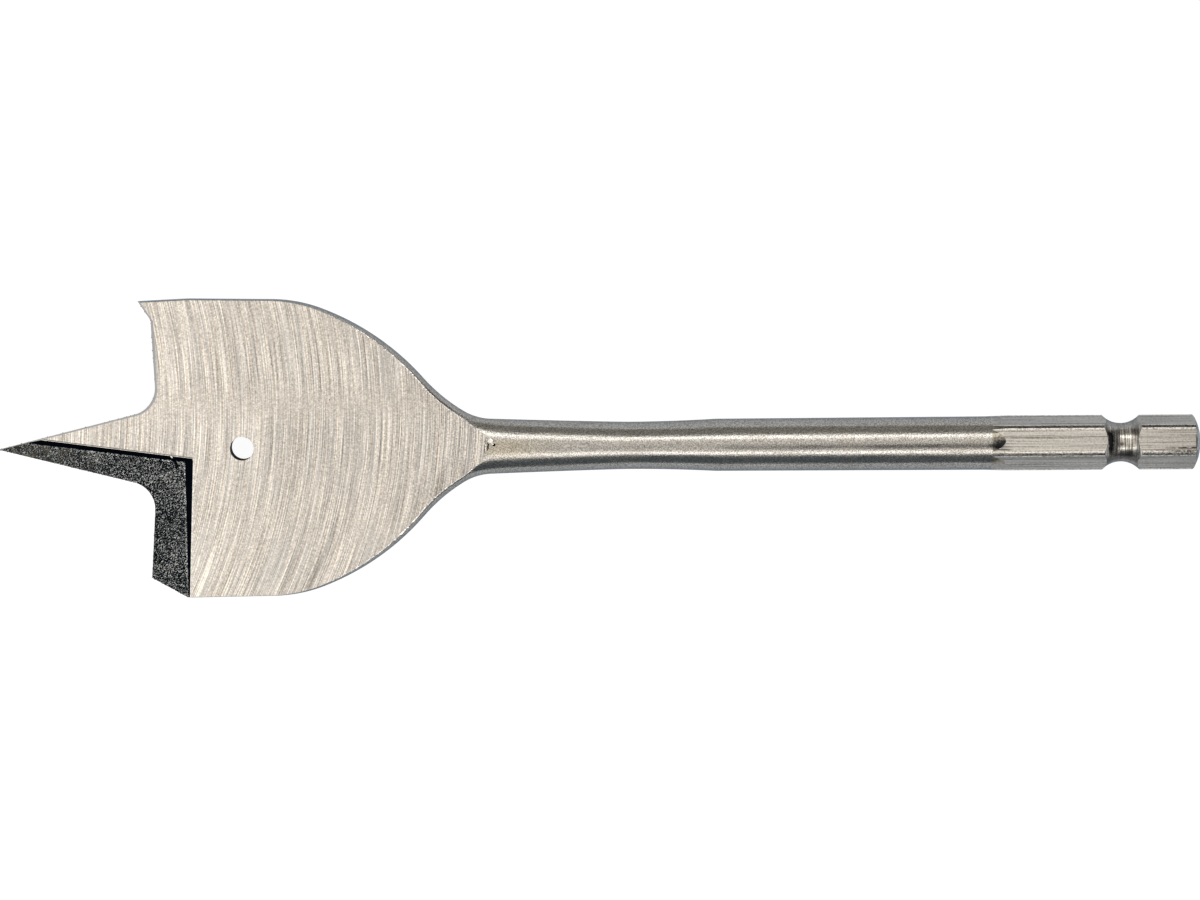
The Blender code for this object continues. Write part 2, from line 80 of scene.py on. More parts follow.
class Skin(Enum):
    """The kinds of surface that the bit has, each with a finish of its own."""

    FORGED = "forged_shank_steel"
    GROUND = "ground_blade_steel"
    RELIEF = "relief_ground_steel"
    # The near-black finish of the recess walls, the hole, the tears and the pit is painted shade.
    WALL = "black_painted_shade"
    BLASTED = "blasted_recess_floor"
    DRAWN = "drawn_hexagon_steel"
    TURNED = "turned_groove_steel"
    RUNOUT = "runout_steel"
    BURR = "bright_burr_steel"

    @property
    def finish(self) -> bpy.types.Material:
        """The finish of this kind of surface, once it is made."""
        return bpy.data.materials[self.value]


class Streaks(NamedTuple):
    """Streaks that a wheel or a die leaves: their size in millimetres, which ones, and finer layers."""

    width: float
    length: float
    seed: float
    detail: float = 1.0
    roughness: float = 0.6


class Grain(NamedTuple):
    """A noise: its patches per millimetre, its finer layers, and how strong these are."""

    scale: float
    detail: float = 2.0
    roughness: float = 0.55


class Pits(NamedTuple):
    """Small pits: their places' distance and their radius in millimetres, their share, and their walls."""

    spacing: float
    radius: float
    share: float
    steepness: float = 4.0


class Foot(NamedTuple):
    """Where a recess's wall meets the blade's face, in millimetres, and how it stands."""

    corner: Triple
    heading_deg: float
    slope_deg: float


class Section(NamedTuple):
    """A cross-section of the forging: a slab whose two edges are rounded in by `edge`."""

    x: float
    half_width: float
    half_thickness: float
    edge: float


class Arc(NamedTuple):
    """One arc of the shoulder: its radius, and the slope where it begins and ends."""

    radius: float
    start: float
    end: float


class Card(NamedTuple):
    """A card that only the steel's reflections show, leaning over the bit from straight up towards +Y."""

    name: str
    low_deg: float
    high_deg: float
    colour: Colour
    reach: Span
    distance: float


class FloorCard(NamedTuple):
    """A card on the floor that only the steel's reflections show: its name, its sides in Y and its colour."""

    name: str
    sides: Span
    colour: Colour


class Lamp(NamedTuple):
    """A soft box along the bit: where it leans, its colour, its brightness, and whether steel shows it."""

    name: str
    low_deg: float
    high_deg: float
    colour: Colour
    level: float
    shown: bool


def smooth(value: float, low: float, high: float) -> float:
    """Eases from 0 at low to 1 at high, level at both ends."""
    share = min(max((value - low) / (high - low), 0.0), 1.0)
    return share * share * (3 - 2 * share)


def blend(share: float, first: float, second: float) -> float:
    """Finds the value at a share of the way from the first to the second."""
    return first + (second - first) * share


def spread(first: float, last: float, steps: int, start: int = 0) -> list[float]:
    """Gives evenly spaced values from the first to the last, from a start step on."""
    return [blend(step / steps, first, last) for step in range(start, steps + 1)]


def tan(degrees: float) -> float:
    """Gives the tangent of an angle in degrees."""
    return math.tan(math.radians(degrees))


class Graph:
    """A node tree that is wired up as its nodes are added."""

    def __init__(self, tree: bpy.types.NodeTree) -> None:
        """Takes the tree that gets the nodes."""
        self.tree = tree

    def feed(self, node: bpy.types.Node, name: str | int, value: object) -> None:
        """Gives an input of a node its value or its socket.

        Args:
            node: The node.
            name: The input's name or number.
            value: The value or the socket.
        """
        if isinstance(value, Socket):
            self.tree.links.new(value, node.inputs[name])
        else:
            node.inputs[name].default_value = value

    def node(self, kind: str, inputs: dict | None = None, **settings: object) -> bpy.types.Node:
        """Adds a node.

        Args:
            kind: The node's Blender type.
            inputs: Values or sockets by input name or number.
            **settings: The node's own settings.

        Returns:
            The node.
        """
        made = self.tree.nodes.new(kind)
        for name, value in settings.items():
            setattr(made, name, value)
        for name, value in (inputs or {}).items():
            self.feed(made, name, value)
        return made

    def maths(self, operation: str, first: object, second: object = 0.0, clamp: bool = False) -> Socket:
        """Adds a Math node with one or two values or sockets, and may keep its result from 0 to 1."""
        made = self.node("ShaderNodeMath", {0: first, 1: second}, operation=operation, use_clamp=clamp)
        return made.outputs[0]

    def plus(self, first: object, second: object) -> Socket:
        """Adds two values or sockets."""
        return self.maths("ADD", first, second)

    def minus(self, first: object, second: object) -> Socket:
        """Takes the second value or socket from the first."""
        return self.maths("SUBTRACT", first, second)

    def times(self, first: object, second: object) -> Socket:
        """Multiplies two values or sockets."""
        return self.maths("MULTIPLY", first, second)

    def most(self, first: object, second: object) -> Socket:
        """Finds the larger of two values or sockets."""
        return self.maths("MAXIMUM", first, second)

    def off(self, value: object, place: object = 0.0) -> Socket:
        """Measures how far a value is from a place, on either side."""
        return self.maths("ABSOLUTE", self.minus(value, place))

    def swing(self, pattern: Socket, reach: object) -> Socket:
        """Turns a pattern from 0 to 1 into a swing about 0."""
        return self.times(self.minus(pattern, 0.5), reach)

    def combine(self, x: object, y: object, z: object) -> Socket:
        """Joins three values or sockets to a vector."""
        return self.node("ShaderNodeCombineXYZ", {0: x, 1: y, 2: z}).outputs[0]

    def level(self, value: Socket, low: float, high: float, to_low: float, to_high: float) -> Socket:
        """Maps the range from low to high to the one from to_low to to_high, and stays within it."""
        made = self.node("ShaderNodeMapRange", {0: value, 1: low, 2: high, 3: to_low, 4: to_high})
        return made.outputs[0]

    def strip(self, value: Socket, place: float, reach: float) -> Socket:
        """Finds a strip that reaches so far to each side of a place: 1 about its middle, 0 outside."""
        return self.level(self.off(value, place), reach / 2, reach, 1.0, 0.0)

    def total(self, weights: Iterable[float], patterns: Iterable[Socket]) -> Socket:
        """Adds up patterns by their weights.

        Args:
            weights: The weights.
            patterns: As many patterns.

        Returns:
            The sum.
        """
        added = None
        for weight, pattern in zip(weights, patterns, strict=True):
            term = self.times(pattern, weight)
            added = term if added is None else self.plus(added, term)
        return added


class NodeGroup(Graph):
    """A Geometry Nodes tree with named inputs, one of them its finish, and one geometry that comes out."""

    def __init__(self, name: str, inputs: dict[str, str], output: str) -> None:
        """Starts the tree.

        Args:
            name: The tree's name.
            inputs: The kind of each input's socket, by the input's name.
            output: The name of the geometry that comes out.
        """
        super().__init__(bpy.data.node_groups.new(name, "GeometryNodeTree"))
        self.output = output
        for label, kind in inputs.items():
            self.tree.interface.new_socket(label, in_out="INPUT", socket_type=f"NodeSocket{kind}")
        self.tree.interface.new_socket(output, in_out="OUTPUT", socket_type="NodeSocketGeometry")
        self.given = self.node("NodeGroupInput").outputs

    def finish(self, geometry: Socket) -> None:
        """Realizes the instances, gives them the finish and hands them out.

        Args:
            geometry: The instances or the faces.
        """
        real = self.node("GeometryNodeRealizeInstances", {"Geometry": geometry}).outputs[0]
        inputs = {"Geometry": real, "Material": self.given["Finish"]}
        self.node("NodeGroupOutput", {self.output: self.node("GeometryNodeSetMaterial", inputs).outputs[0]})

    def run(self, source: Piece, values: dict[str, object]) -> None:
        """Runs the tree on an object, keeps its result as a plain mesh and removes the tree.

        Args:
            source: The object, which keeps no modifier.
            values: The tree's inputs by name.
        """
        modifier = source.modifiers.new(self.tree.name, "NODES")
        modifier.node_group = self.tree
        for item in self.tree.interface.items_tree:
            if item.in_out == "INPUT" and item.name in values:
                modifier[item.identifier] = values[item.name]
        keep_modified(source)
        bpy.data.node_groups.remove(self.tree)


class Paint(Graph):
    """The nodes of one material."""

    def __init__(self, name: str) -> None:
        """Starts a material.

        Args:
            name: Its name.
        """
        self.material = bpy.data.materials.new(name)
        self.material.use_nodes = True
        super().__init__(self.material.node_tree)


class BarePaint(Paint):
    """The nodes of a material that starts with none."""

    def __init__(self, name: str) -> None:
        """Starts a material of this name and clears it."""
        super().__init__(name)
        self.tree.nodes.clear()

    def show(self, surface: Socket) -> None:
        """Shows this surface."""
        self.node("ShaderNodeOutputMaterial", {"Surface": surface})


class Wiring(Paint):
    """The nodes of one metal finish, with the place on the bit in millimetres."""

    tint: tuple[float, ...] = (0.44, 0.50, 0.56, 1.0)

    def __init__(self, skin: Skin) -> None:
        """Starts the finish of one kind of surface.

        Args:
            skin: The kind.
        """
        super().__init__(skin.value)
        self.surface = self.tree.nodes["Principled BSDF"]
        self.feed(self.surface, "Metallic", 1.0)
        self.feed(self.surface, "Specular Tint", self.tint)
        place = self.node("ShaderNodeTexCoord").outputs["Object"]
        scaled = self.node("ShaderNodeVectorMath", {0: place, "Scale": 1 / MM}, operation="SCALE")
        self.place = scaled.outputs[0]
        self.x, self.y, self.z = self.node("ShaderNodeSeparateXYZ", {0: self.place}).outputs

    def around(self) -> tuple[Socket, Socket]:
        """Gives the angle about the bar, and the distance round the bar."""
        turn = self.maths("ARCTAN2", self.y, self.z)
        return turn, self.times(turn, BAR_RADIUS_MM)

    def stretched(self, share: float) -> Socket:
        """Gives the place with its X made smaller, so that patterns are long along the bar."""
        return self.combine(self.times(self.x, share), self.y, self.z)

    def noise(self, grain: Grain, place: Socket | None = None) -> Socket:
        """Adds a noise pattern.

        Args:
            grain: Its size and its layers.
            place: The coordinates, when they are not the place on the bit.

        Returns:
            The pattern, from 0 to 1.
        """
        inputs = {"Scale": grain.scale, "Detail": grain.detail, "Roughness": grain.roughness}
        inputs["Vector"] = self.place if place is None else place
        return self.node("ShaderNodeTexNoise", inputs).outputs[0]

    def streaks(self, across: Socket, along: Socket, kind: Streaks) -> Socket:
        """Adds streaks.

        Args:
            across: The coordinate across the streaks.
            along: The coordinate along them.
            kind: Their size, and which ones they are.

        Returns:
            The pattern, from 0 to 1.
        """
        across = self.maths("DIVIDE", across, kind.width)
        along = self.maths("DIVIDE", along, kind.length)
        place = self.combine(across, along, kind.seed)
        return self.noise(Grain(1.0, kind.detail, kind.roughness), place)

    def ramp(self, value: Socket, places: Iterable[float], colours: Iterable[Colour]) -> Socket:
        """Colours a pattern.

        Args:
            value: The pattern, from 0 to 1.
            places: Places on the ramp.
            colours: As many colours.

        Returns:
            The colour's socket.
        """
        made = self.node("ShaderNodeValToRGB", {0: value})
        stops = list(zip(places, colours, strict=True))
        elements = made.color_ramp.elements
        while len(elements) < len(stops):
            elements.new(0.5)
        for element, (place, colour) in zip(elements, stops, strict=True):
            element.position = place
            element.color = (*colour, 1.0)
        return made.outputs[0]

    def mix(self, share: object, first: object, second: object, how: str = "MIX") -> Socket:
        """Mixes two colours.

        Args:
            share: How much of the second.
            first: A colour or its socket.
            second: A colour or its socket.
            how: The blend type.

        Returns:
            The mixed colour's socket.
        """
        first, second = ((*c, 1.0) if isinstance(c, tuple) else c for c in (first, second))
        inputs = {0: share, 6: first, 7: second}
        return self.node("ShaderNodeMix", inputs, data_type="RGBA", blend_type=how).outputs[2]

    def shade(self, colour: object, share: Socket) -> Socket:
        """Multiplies a colour by a value that varies."""
        return self.mix(1.0, colour, self.combine(share, share, share), "MULTIPLY")

    def pits(self, kind: Pits) -> Socket:
        """Scatters small pits.

        Args:
            kind: Their size and number.

        Returns:
            1 in a pit, 0 outside.
        """
        cells = self.node("ShaderNodeTexVoronoi", {"Vector": self.place, "Scale": 1 / kind.spacing}).outputs
        chance = self.node("ShaderNodeSeparateColor", {0: cells["Color"]}).outputs[0]
        reach = self.level(chance, 1 - kind.share, 1.0, 0.0, kind.radius / kind.spacing)
        inside = self.minus(reach, cells["Distance"])
        steepness = kind.steepness * kind.spacing / kind.radius
        return self.maths("MULTIPLY", inside, steepness, clamp=True)

    def finish(self, colour: Socket, roughness: object, height: Socket, depth: float) -> None:
        """Gives the surface its colour, roughness and relief.

        Args:
            colour: The colour.
            roughness: The roughness or its socket.
            height: The pattern that the surface is raised by.
            depth: How high it stands, in millimetres.
        """
        relief = self.node("ShaderNodeBump", {"Height": height, "Distance": depth * MM, "Strength": 1.0})
        values = {"Base Color": colour, "Roughness": roughness, "Normal": relief.outputs[0]}
        for name, value in values.items():
            self.feed(self.surface, name, value)


@dataclass(frozen=True)
class GroundSteel:
    """The blade's faces: bright steel with the long arcs that the wheel leaves."""

    wheel_radius: float = 58.0
    wheel_offset: float = 5.5
    wander: Grain = Grain(0.05)
    wander_reach: float = 0.5
    hair: Streaks = Streaks(0.072, 9.0, 17.0)
    fine: Streaks = Streaks(0.11, 14.0, 3.0)
    coarse: Streaks = Streaks(0.19, 22.0, 31.0)
    broad: Streaks = Streaks(0.55, 40.0, 23.0)
    tint: Streaks = Streaks(0.11, 14.0, 47.0)
    grain: Grain = Grain(5.0, 2.0, 0.65)
    weights: tuple[float, ...] = (0.36, 0.24, 0.08, 0.05, 0.27)
    stops: tuple[float, ...] = (0.400, 0.495, 0.590)
    dark: Colour = (0.225, 0.205, 0.187)
    middle: Colour = (0.545, 0.505, 0.460)
    light: Colour = (0.985, 0.930, 0.860)
    cool: Colour = (0.470, 0.490, 0.505)
    cool_share: Range = (0.48, 0.64, 0.0, 0.6)
    neck_contrast: Range = (-101.0, -92.0, 1.0, 1.6)
    neck_light: Range = (-101.0, -92.0, 1.0, 0.85)
    wing_light: Range = (-130.0, -114.0, 1.11, 1.0)
    broad_light: Range = (0.35, 0.65, 0.97, 1.03)
    pits: Pits = Pits(2.2, 0.14, 0.40)
    pit: Colour = (0.060, 0.050, 0.045)
    heights: tuple[float, ...] = (1.0, -0.8)
    depth: float = 0.012
    roughness: Range = (0.3, 0.7, 0.40, 0.30)

    def make(self) -> None:
        """Builds the finish."""
        w = Wiring(Skin.GROUND)
        raised = w.minus(w.y, self.wheel_offset)
        bowed = w.maths("SQRT", w.minus(self.wheel_radius**2, w.times(raised, raised)))
        across = w.plus(w.minus(w.x, bowed), w.times(w.noise(self.wander), self.wander_reach))
        turn = w.maths("ARCSINE", w.maths("DIVIDE", raised, self.wheel_radius))
        along = w.times(turn, self.wheel_radius)
        kinds = (self.hair, self.fine, self.coarse, self.broad, self.tint)
        *streaks, broad, tint = (w.streaks(across, along, kind) for kind in kinds)
        tone = w.total(self.weights, (*streaks, broad, w.noise(self.grain)))
        tone = w.plus(w.swing(tone, w.level(w.x, *self.neck_contrast)), 0.5)
        colour = w.ramp(tone, self.stops, (self.dark, self.middle, self.light))
        colour = w.mix(w.level(tint, *self.cool_share), colour, self.cool)
        # Painted light and shade: the faces brighter towards the wings and darker towards the neck.
        lit = w.times(w.level(w.x, *self.wing_light), w.level(w.x, *self.neck_light))
        colour = w.shade(colour, w.times(lit, w.level(broad, *self.broad_light)))
        pits = w.pits(self.pits)
        colour = w.mix(pits, colour, self.pit)
        w.finish(colour, w.level(broad, *self.roughness), w.total(self.heights, (tone, pits)), self.depth)


@dataclass(frozen=True)
class ForgedSteel:
    """The shank and the forged edges: satin steel with faint marks along it and a fine grain."""

    lines: Streaks = Streaks(0.30, 7.0, 5.0, 3.0)
    grain: Grain = Grain(5.4, 2.0, 0.65)
    patches: Grain = Grain(0.55)
    patch_stretch: float = 0.35
    colour: Colour = (0.375, 0.366, 0.350)
    worn: Colour = (0.440, 0.426, 0.404)
    worn_share: Range = (0.5, 0.72, 0.0, 0.8)
    stained: Colour = (0.300, 0.275, 0.240)
    stained_share: Range = (0.55, 0.8, 0.0, 0.5)
    tanned: Colour = (0.400, 0.365, 0.300)
    tanned_share: float = 0.8
    tanned_behind: Range = (-87.0, -81.0, 1.0, 0.0)
    tanned_between: Range = (0.7, 1.3, 1.0, 0.0)
    grain_light: Range = (0.38, 0.62, 0.64, 1.36)
    dark: Colour = (0.060, 0.052, 0.045)
    seams: tuple[Span, Span] = ((2.28, 0.30), (-1.18, 0.30))
    seam_end: Range = (-26.4, -25.8, 0.0, 1.0)
    seam_share: Range = (0.36, 0.58, 0.9, 0.3)
    flecks: Pits = Pits(1.1, 0.09, 0.30)
    fleck: Colour = (0.120, 0.105, 0.090)
    heights: tuple[float, ...] = (0.6, 0.4, -0.6)
    depth: float = 0.018
    roughness: Range = (0.35, 0.75, 0.18, 0.27)

    def make(self) -> None:
        """Builds the finish."""
        w = Wiring(Skin.FORGED)
        _, around = w.around()
        lines = w.streaks(around, w.x, self.lines)
        grain = w.noise(self.grain)
        patches = w.noise(self.patches, w.stretched(self.patch_stretch))
        colour = w.mix(w.level(lines, *self.worn_share), self.colour, self.worn)
        colour = w.mix(w.level(patches, *self.stained_share), colour, self.stained)
        tanned = w.times(w.level(w.x, *self.tanned_behind), w.level(w.off(w.y), *self.tanned_between))
        colour = w.mix(w.times(tanned, self.tanned_share), colour, self.tanned)
        colour = w.shade(colour, w.level(grain, *self.grain_light))
        seams = w.most(*(w.strip(around, *seam) for seam in self.seams))
        seams = w.times(seams, w.level(w.x, *self.seam_end))
        colour = w.mix(w.times(seams, w.level(grain, *self.seam_share)), colour, self.dark)
        flecks = w.pits(self.flecks)
        colour = w.mix(flecks, colour, self.fleck)
        height = w.total(self.heights, (grain, lines, flecks))
        w.finish(colour, w.level(patches, *self.roughness), height, self.depth)


@dataclass(frozen=True)
class ReliefSteel:
    """The clearances of the wings and the point: grey steel with short marks through the thickness."""

    tint: tuple[float, ...] = (0.80, 0.80, 0.80, 1.0)
    lean: float = 0.8
    marks: Streaks = Streaks(0.16, 6.0, 9.0, 3.0)
    colour: Colour = (0.440, 0.428, 0.416)
    worn: Colour = (0.600, 0.585, 0.565)
    worn_share: Range = (0.4, 0.7, 0.0, 1.0)
    depth: float = 0.008
    roughness: float = 0.33

    def make(self) -> None:
        """Builds the finish."""
        w = Wiring(Skin.RELIEF)
        w.feed(w.surface, "Specular Tint", self.tint)
        marks = w.streaks(w.plus(w.times(w.x, self.lean), w.y), w.z, self.marks)
        colour = w.mix(w.level(marks, *self.worn_share), self.colour, self.worn)
        w.finish(colour, self.roughness, marks, self.depth)


@dataclass(frozen=True)
class BlackPaintedShade:
    """The walls of the recesses, painted near black as their shade, with a faint grain."""

    specular: float = 0.03
    grain: Grain = Grain(4.0, 3.0, 0.65)
    colour: Colour = (0.0008, 0.0018, 0.0040)
    worn: Colour = (0.0040, 0.0060, 0.0085)
    worn_share: Range = (0.55, 0.8, 0.0, 1.0)
    depth: float = 0.02
    roughness: float = 0.75

    def make(self) -> None:
        """Builds the finish."""
        w = Wiring(Skin.WALL)
        w.feed(w.surface, "Metallic", 0.0)
        w.feed(w.surface, "Specular IOR Level", self.specular)
        grain = w.noise(self.grain)
        # Painted shade: near black, a little lighter where the grain rises.
        colour = w.mix(w.level(grain, *self.worn_share), self.colour, self.worn)
        w.finish(colour, self.roughness, grain, self.depth)


@dataclass(frozen=True)
class BlastedSteel:
    """The floors of the recesses: dark, blasted with grit, with painted shade black along the foot of the
    walls, painted light towards the point, and light specks.
    """

    feet: tuple[Foot, ...]
    bend: Grain = Grain(1.8)
    grit: Grain = Grain(6.5, 2.0, 0.8)
    cloud: Grain = Grain(0.45)
    cloud_reach: float = 0.13
    ragged_reach: float = 0.25
    # Painted shade: the floor black close to the foot of the walls.
    wall_shade_band: Range = (0.15, 0.20, 1.0, 0.0)
    ridge: Range = (0.34, 0.42, 1.0, 0.0)
    ridge_rise: float = 0.040
    stops: tuple[float, ...] = (0.480, 0.540, 0.580, 0.625)
    black: Colour = (0.0010, 0.0025, 0.0045)
    dark: Colour = (0.007, 0.011, 0.015)
    light: Colour = (0.105, 0.120, 0.128)
    speck: Colour = (0.740, 0.765, 0.765)
    rust: Colour = (0.150, 0.125, 0.090)
    rust_patches: Grain = Grain(1.1)
    rust_share: Range = (0.45, 0.62, 0.1, 1.0)
    rust_near_tip: Range = (-150.0, -138.0, 0.48, 0.0)
    # Painted light: the floor lighter towards the point.
    painted_light_near_tip: Range = (-150.0, -134.0, 0.18, 0.0)
    nick: tuple[Span, Span] = ((-130.0, -1.35), (-129.45, -2.35))
    nick_bow: float = 0.5
    nick_side: Range = (0.13, 0.195, 1.0, 0.0)
    nick_ends: Range = (0.45, 0.52, 1.0, 0.0)
    front: Range = (0.0, 0.1, 0.0, 1.0)
    depth: float = 0.035
    roughness: Range = (0.4, 0.7, 0.60, 0.42)

    def make(self) -> None:
        """Builds the finish."""
        w = Wiring(Skin.BLASTED)
        bent = w.node("ShaderNodeVectorMath", {0: w.place, 1: w.noise(self.bend)}).outputs[0]
        grit = w.noise(self.grit, bent)
        near = self.nearness(w)
        tone = w.plus(grit, w.swing(w.noise(self.cloud), self.cloud_reach))
        tone = w.plus(tone, w.times(w.level(near, *self.ridge), self.ridge_rise))
        colour = w.ramp(tone, self.stops, (self.black, self.dark, self.light, self.speck))
        brown = w.level(w.noise(self.rust_patches), *self.rust_share)
        colour = w.mix(w.times(brown, w.level(w.x, *self.rust_near_tip)), colour, self.rust)
        # Painted light: the floor lighter towards the point.
        colour = w.mix(w.level(w.x, *self.painted_light_near_tip), colour, self.light)
        # Painted shade: a ragged black strip on the floor along the foot of the walls.
        ragged = w.plus(near, w.swing(grit, self.ragged_reach))
        colour = w.mix(w.level(ragged, *self.wall_shade_band), colour, self.black)
        colour = w.mix(self.nicked(w), colour, self.black)
        w.finish(colour, w.level(grit, *self.roughness), grit, self.depth)

    def nicked(self, w: Wiring) -> Socket:
        """Finds the dark nick near the corner of the front recess.

        Args:
            w: The finish's wiring.

        Returns:
            1 in the nick, 0 outside.
        """
        start, end = (Vector(place) for place in self.nick)
        along = (end - start).normalized()
        away = (w.minus(w.x, start.x), w.minus(w.y, start.y))
        middle = w.minus(w.total(along / (end - start).length, away), 0.5)
        aside = w.total((-along.y, along.x), away)
        aside = w.off(aside, w.times(w.times(middle, middle), -self.nick_bow))
        inside = w.times(w.level(aside, *self.nick_side), w.level(w.off(middle), *self.nick_ends))
        return w.times(inside, w.level(w.z, *self.front))

    def nearness(self, w: Wiring) -> Socket:
        """Measures how far a place on the floor lies from the foot of the nearest wall.

        Args:
            w: The finish's wiring.

        Returns:
            The distance, in millimetres.
        """
        side = w.maths("SIGN", w.z)
        place = (w.x, w.times(w.y, side), w.times(w.z, side))
        distances = []
        for foot in self.feet:
            heading = math.radians(foot.heading_deg)
            outwards = Vector((math.cos(heading), math.sin(heading), -1 / tan(foot.slope_deg)))
            distances.append(w.plus(w.total(-outwards, place), outwards.dot(foot.corner)))
        return w.maths("MINIMUM", *distances)


@dataclass(frozen=True)
class DrawnSteel:
    """The flats of the hexagon, with fine lines along the bar, bright edges that are partly wear and partly a
    painted highlight, dark specks, painted shade on the lower flat and towards and at the shank's end, and
    painted light on the upper flat.
    """

    lines: Streaks = Streaks(0.16, 60.0, 2.0)
    hairs: Streaks = Streaks(0.09, 9.0, 12.0)
    broad: Streaks = Streaks(0.55, 30.0, 21.0, 2.0)
    grain: Grain = Grain(4.5, 2.0, 0.65)
    weights: tuple[float, ...] = (0.45, 0.30, 0.25)
    stops: tuple[float, ...] = (0.42, 0.495, 0.57)
    line: Colour = (0.225, 0.212, 0.195)
    colour: Colour = (0.420, 0.407, 0.385)
    light: Colour = (0.600, 0.580, 0.545)
    broad_share: Range = (0.32, 0.48, 0.25, 0.0)
    # Painted shade: the lower flat darker, and the flats below the upper one darker towards the shank's end.
    lower_painted_shade: Range = (-0.95, -0.42, 0.0, 0.33)
    lower_flat: Range = (-0.36, -0.33, 1.0, 0.0)
    end_painted_shade: Range = (-8.0, -1.0, 0.0, 0.14)
    below_upper_flat: Range = (0.60, 0.70, 1.0, 0.0)
    # Painted light: the upper flat lighter.
    upper_painted_light: Range = (0.60, 0.70, 1.0, 1.07)
    # The bright edges of the flats: partly wear, partly a painted highlight.
    worn: Colour = (0.820, 0.795, 0.750)
    worn_and_highlit_edge_deg: Span = (22.5, 25.0)
    worn_and_highlit_grain: Range = (0.40, 0.56, 0.0, 1.0)
    # Near black, for the marks, smears and specks, and for the painted shade at the shank's end.
    dirt_and_shade: Colour = (0.030, 0.028, 0.026)
    dirt_and_shade_share: float = 0.9
    smear: Span = (-0.35, 0.6)
    smear_behind: Range = (-24.5, -23.7, 1.0, 0.0)
    smear_hairs: Range = (0.42, 0.50, 1.0, 0.0)
    marks: tuple[Span, Span] = ((-0.50, 0.16), (-0.98, 0.26))
    marks_ahead: Range = (-5.5, -2.5, 0.0, 1.0)
    blots: Grain = Grain(3.2, 2.0, 0.7)
    blot_stretch: float = 0.4
    blot_share: Range = (0.36, 0.42, 0.0, 1.0)
    # Painted shade: a dark strip on the front where the flats meet the domed end.
    rim: Span = (-0.30, 1.9)
    rim_shade_ahead: Range = (-0.90, -0.80, 0.0, 1.0)
    specks: Pits = Pits(0.9, 0.10, 0.30)
    heights: tuple[float, ...] = (1.0, 0.4)
    depth: float = 0.010
    roughness: float = 0.28

    def make(self) -> None:
        """Builds the finish."""
        w = Wiring(Skin.DRAWN)
        turn, around = w.around()
        lines, hairs, broad = (w.streaks(around, w.x, kind) for kind in (self.lines, self.hairs, self.broad))
        grain = w.noise(self.grain)
        tone = w.total(self.weights, (lines, hairs, grain))
        colour = w.ramp(tone, self.stops, (self.line, self.colour, self.light))
        colour = w.mix(w.level(broad, *self.broad_share), colour, self.line)
        # Painted shade: the lower flat darker, and the flats below the upper one darker towards the shank's
        # end.
        lower = w.times(w.level(turn, *self.lower_painted_shade), w.level(turn, *self.lower_flat))
        ahead = w.times(w.level(w.x, *self.end_painted_shade), w.level(turn, *self.below_upper_flat))
        colour = w.shade(colour, w.minus(1.0, w.most(lower, ahead)))
        # Painted light: the upper flat lighter.
        colour = w.shade(colour, w.level(turn, *self.upper_painted_light))
        # Bright edges: partly wear, partly a painted highlight.
        colour = w.mix(self.edges(w, turn, grain), colour, self.worn)
        dirt_and_shade_mask = w.most(self.smears(w, around, hairs), self.marks_and_end_shade(w, around))
        dirt_and_shade_mask = w.times(w.most(dirt_and_shade_mask, w.pits(self.specks)), self.dirt_and_shade_share)
        colour = w.mix(dirt_and_shade_mask, colour, self.dirt_and_shade)
        w.finish(colour, self.roughness, w.total(self.heights, (tone, grain)), self.depth)

    def smears(self, w: Wiring, around: Socket, hairs: Socket) -> Socket:
        """Finds the dark hairs near the run-out: 1 in one of them, 0 elsewhere."""
        smears = w.times(w.level(w.x, *self.smear_behind), w.level(hairs, *self.smear_hairs))
        return w.times(smears, w.strip(around, *self.smear))

    def marks_and_end_shade(self, w: Wiring, around: Socket) -> Socket:
        """Finds the dark marks near the shank's end, and the painted shade where the front of the flats meets
        the domed end.

        Args:
            w: The finish's wiring.
            around: The distance round the bar.

        Returns:
            1 in a mark or in that painted shade, 0 elsewhere.
        """
        marks = w.most(*(w.strip(around, *mark) for mark in self.marks))
        marks = w.times(marks, w.level(w.x, *self.marks_ahead))
        blots = w.noise(self.blots, w.stretched(self.blot_stretch))
        marks = w.times(marks, w.level(blots, *self.blot_share))
        # Painted shade where the front of the flats meets the domed end.
        return w.most(marks, w.times(w.level(w.x, *self.rim_shade_ahead), w.strip(around, *self.rim)))

    def edges(self, w: Wiring, turn: Socket, grain: Socket) -> Socket:
        """Finds the bright edges between the flats: partly wear, partly a painted highlight.

        Args:
            w: The finish's wiring.
            turn: The angle about the bar.
            grain: The grain that makes the wear ragged.

        Returns:
            1 on such a bright edge, 0 elsewhere.
        """
        side = math.tau / HEX_SIDES
        start = w.plus(turn, side / 2 - math.radians(HEX_TURN_DEG) + side)
        off = w.off(w.maths("MODULO", start, side), side / 2)
        edge = w.level(off, *map(math.radians, self.worn_and_highlit_edge_deg), 0.0, 1.0)
        return w.times(edge, w.level(grain, *self.worn_and_highlit_grain))


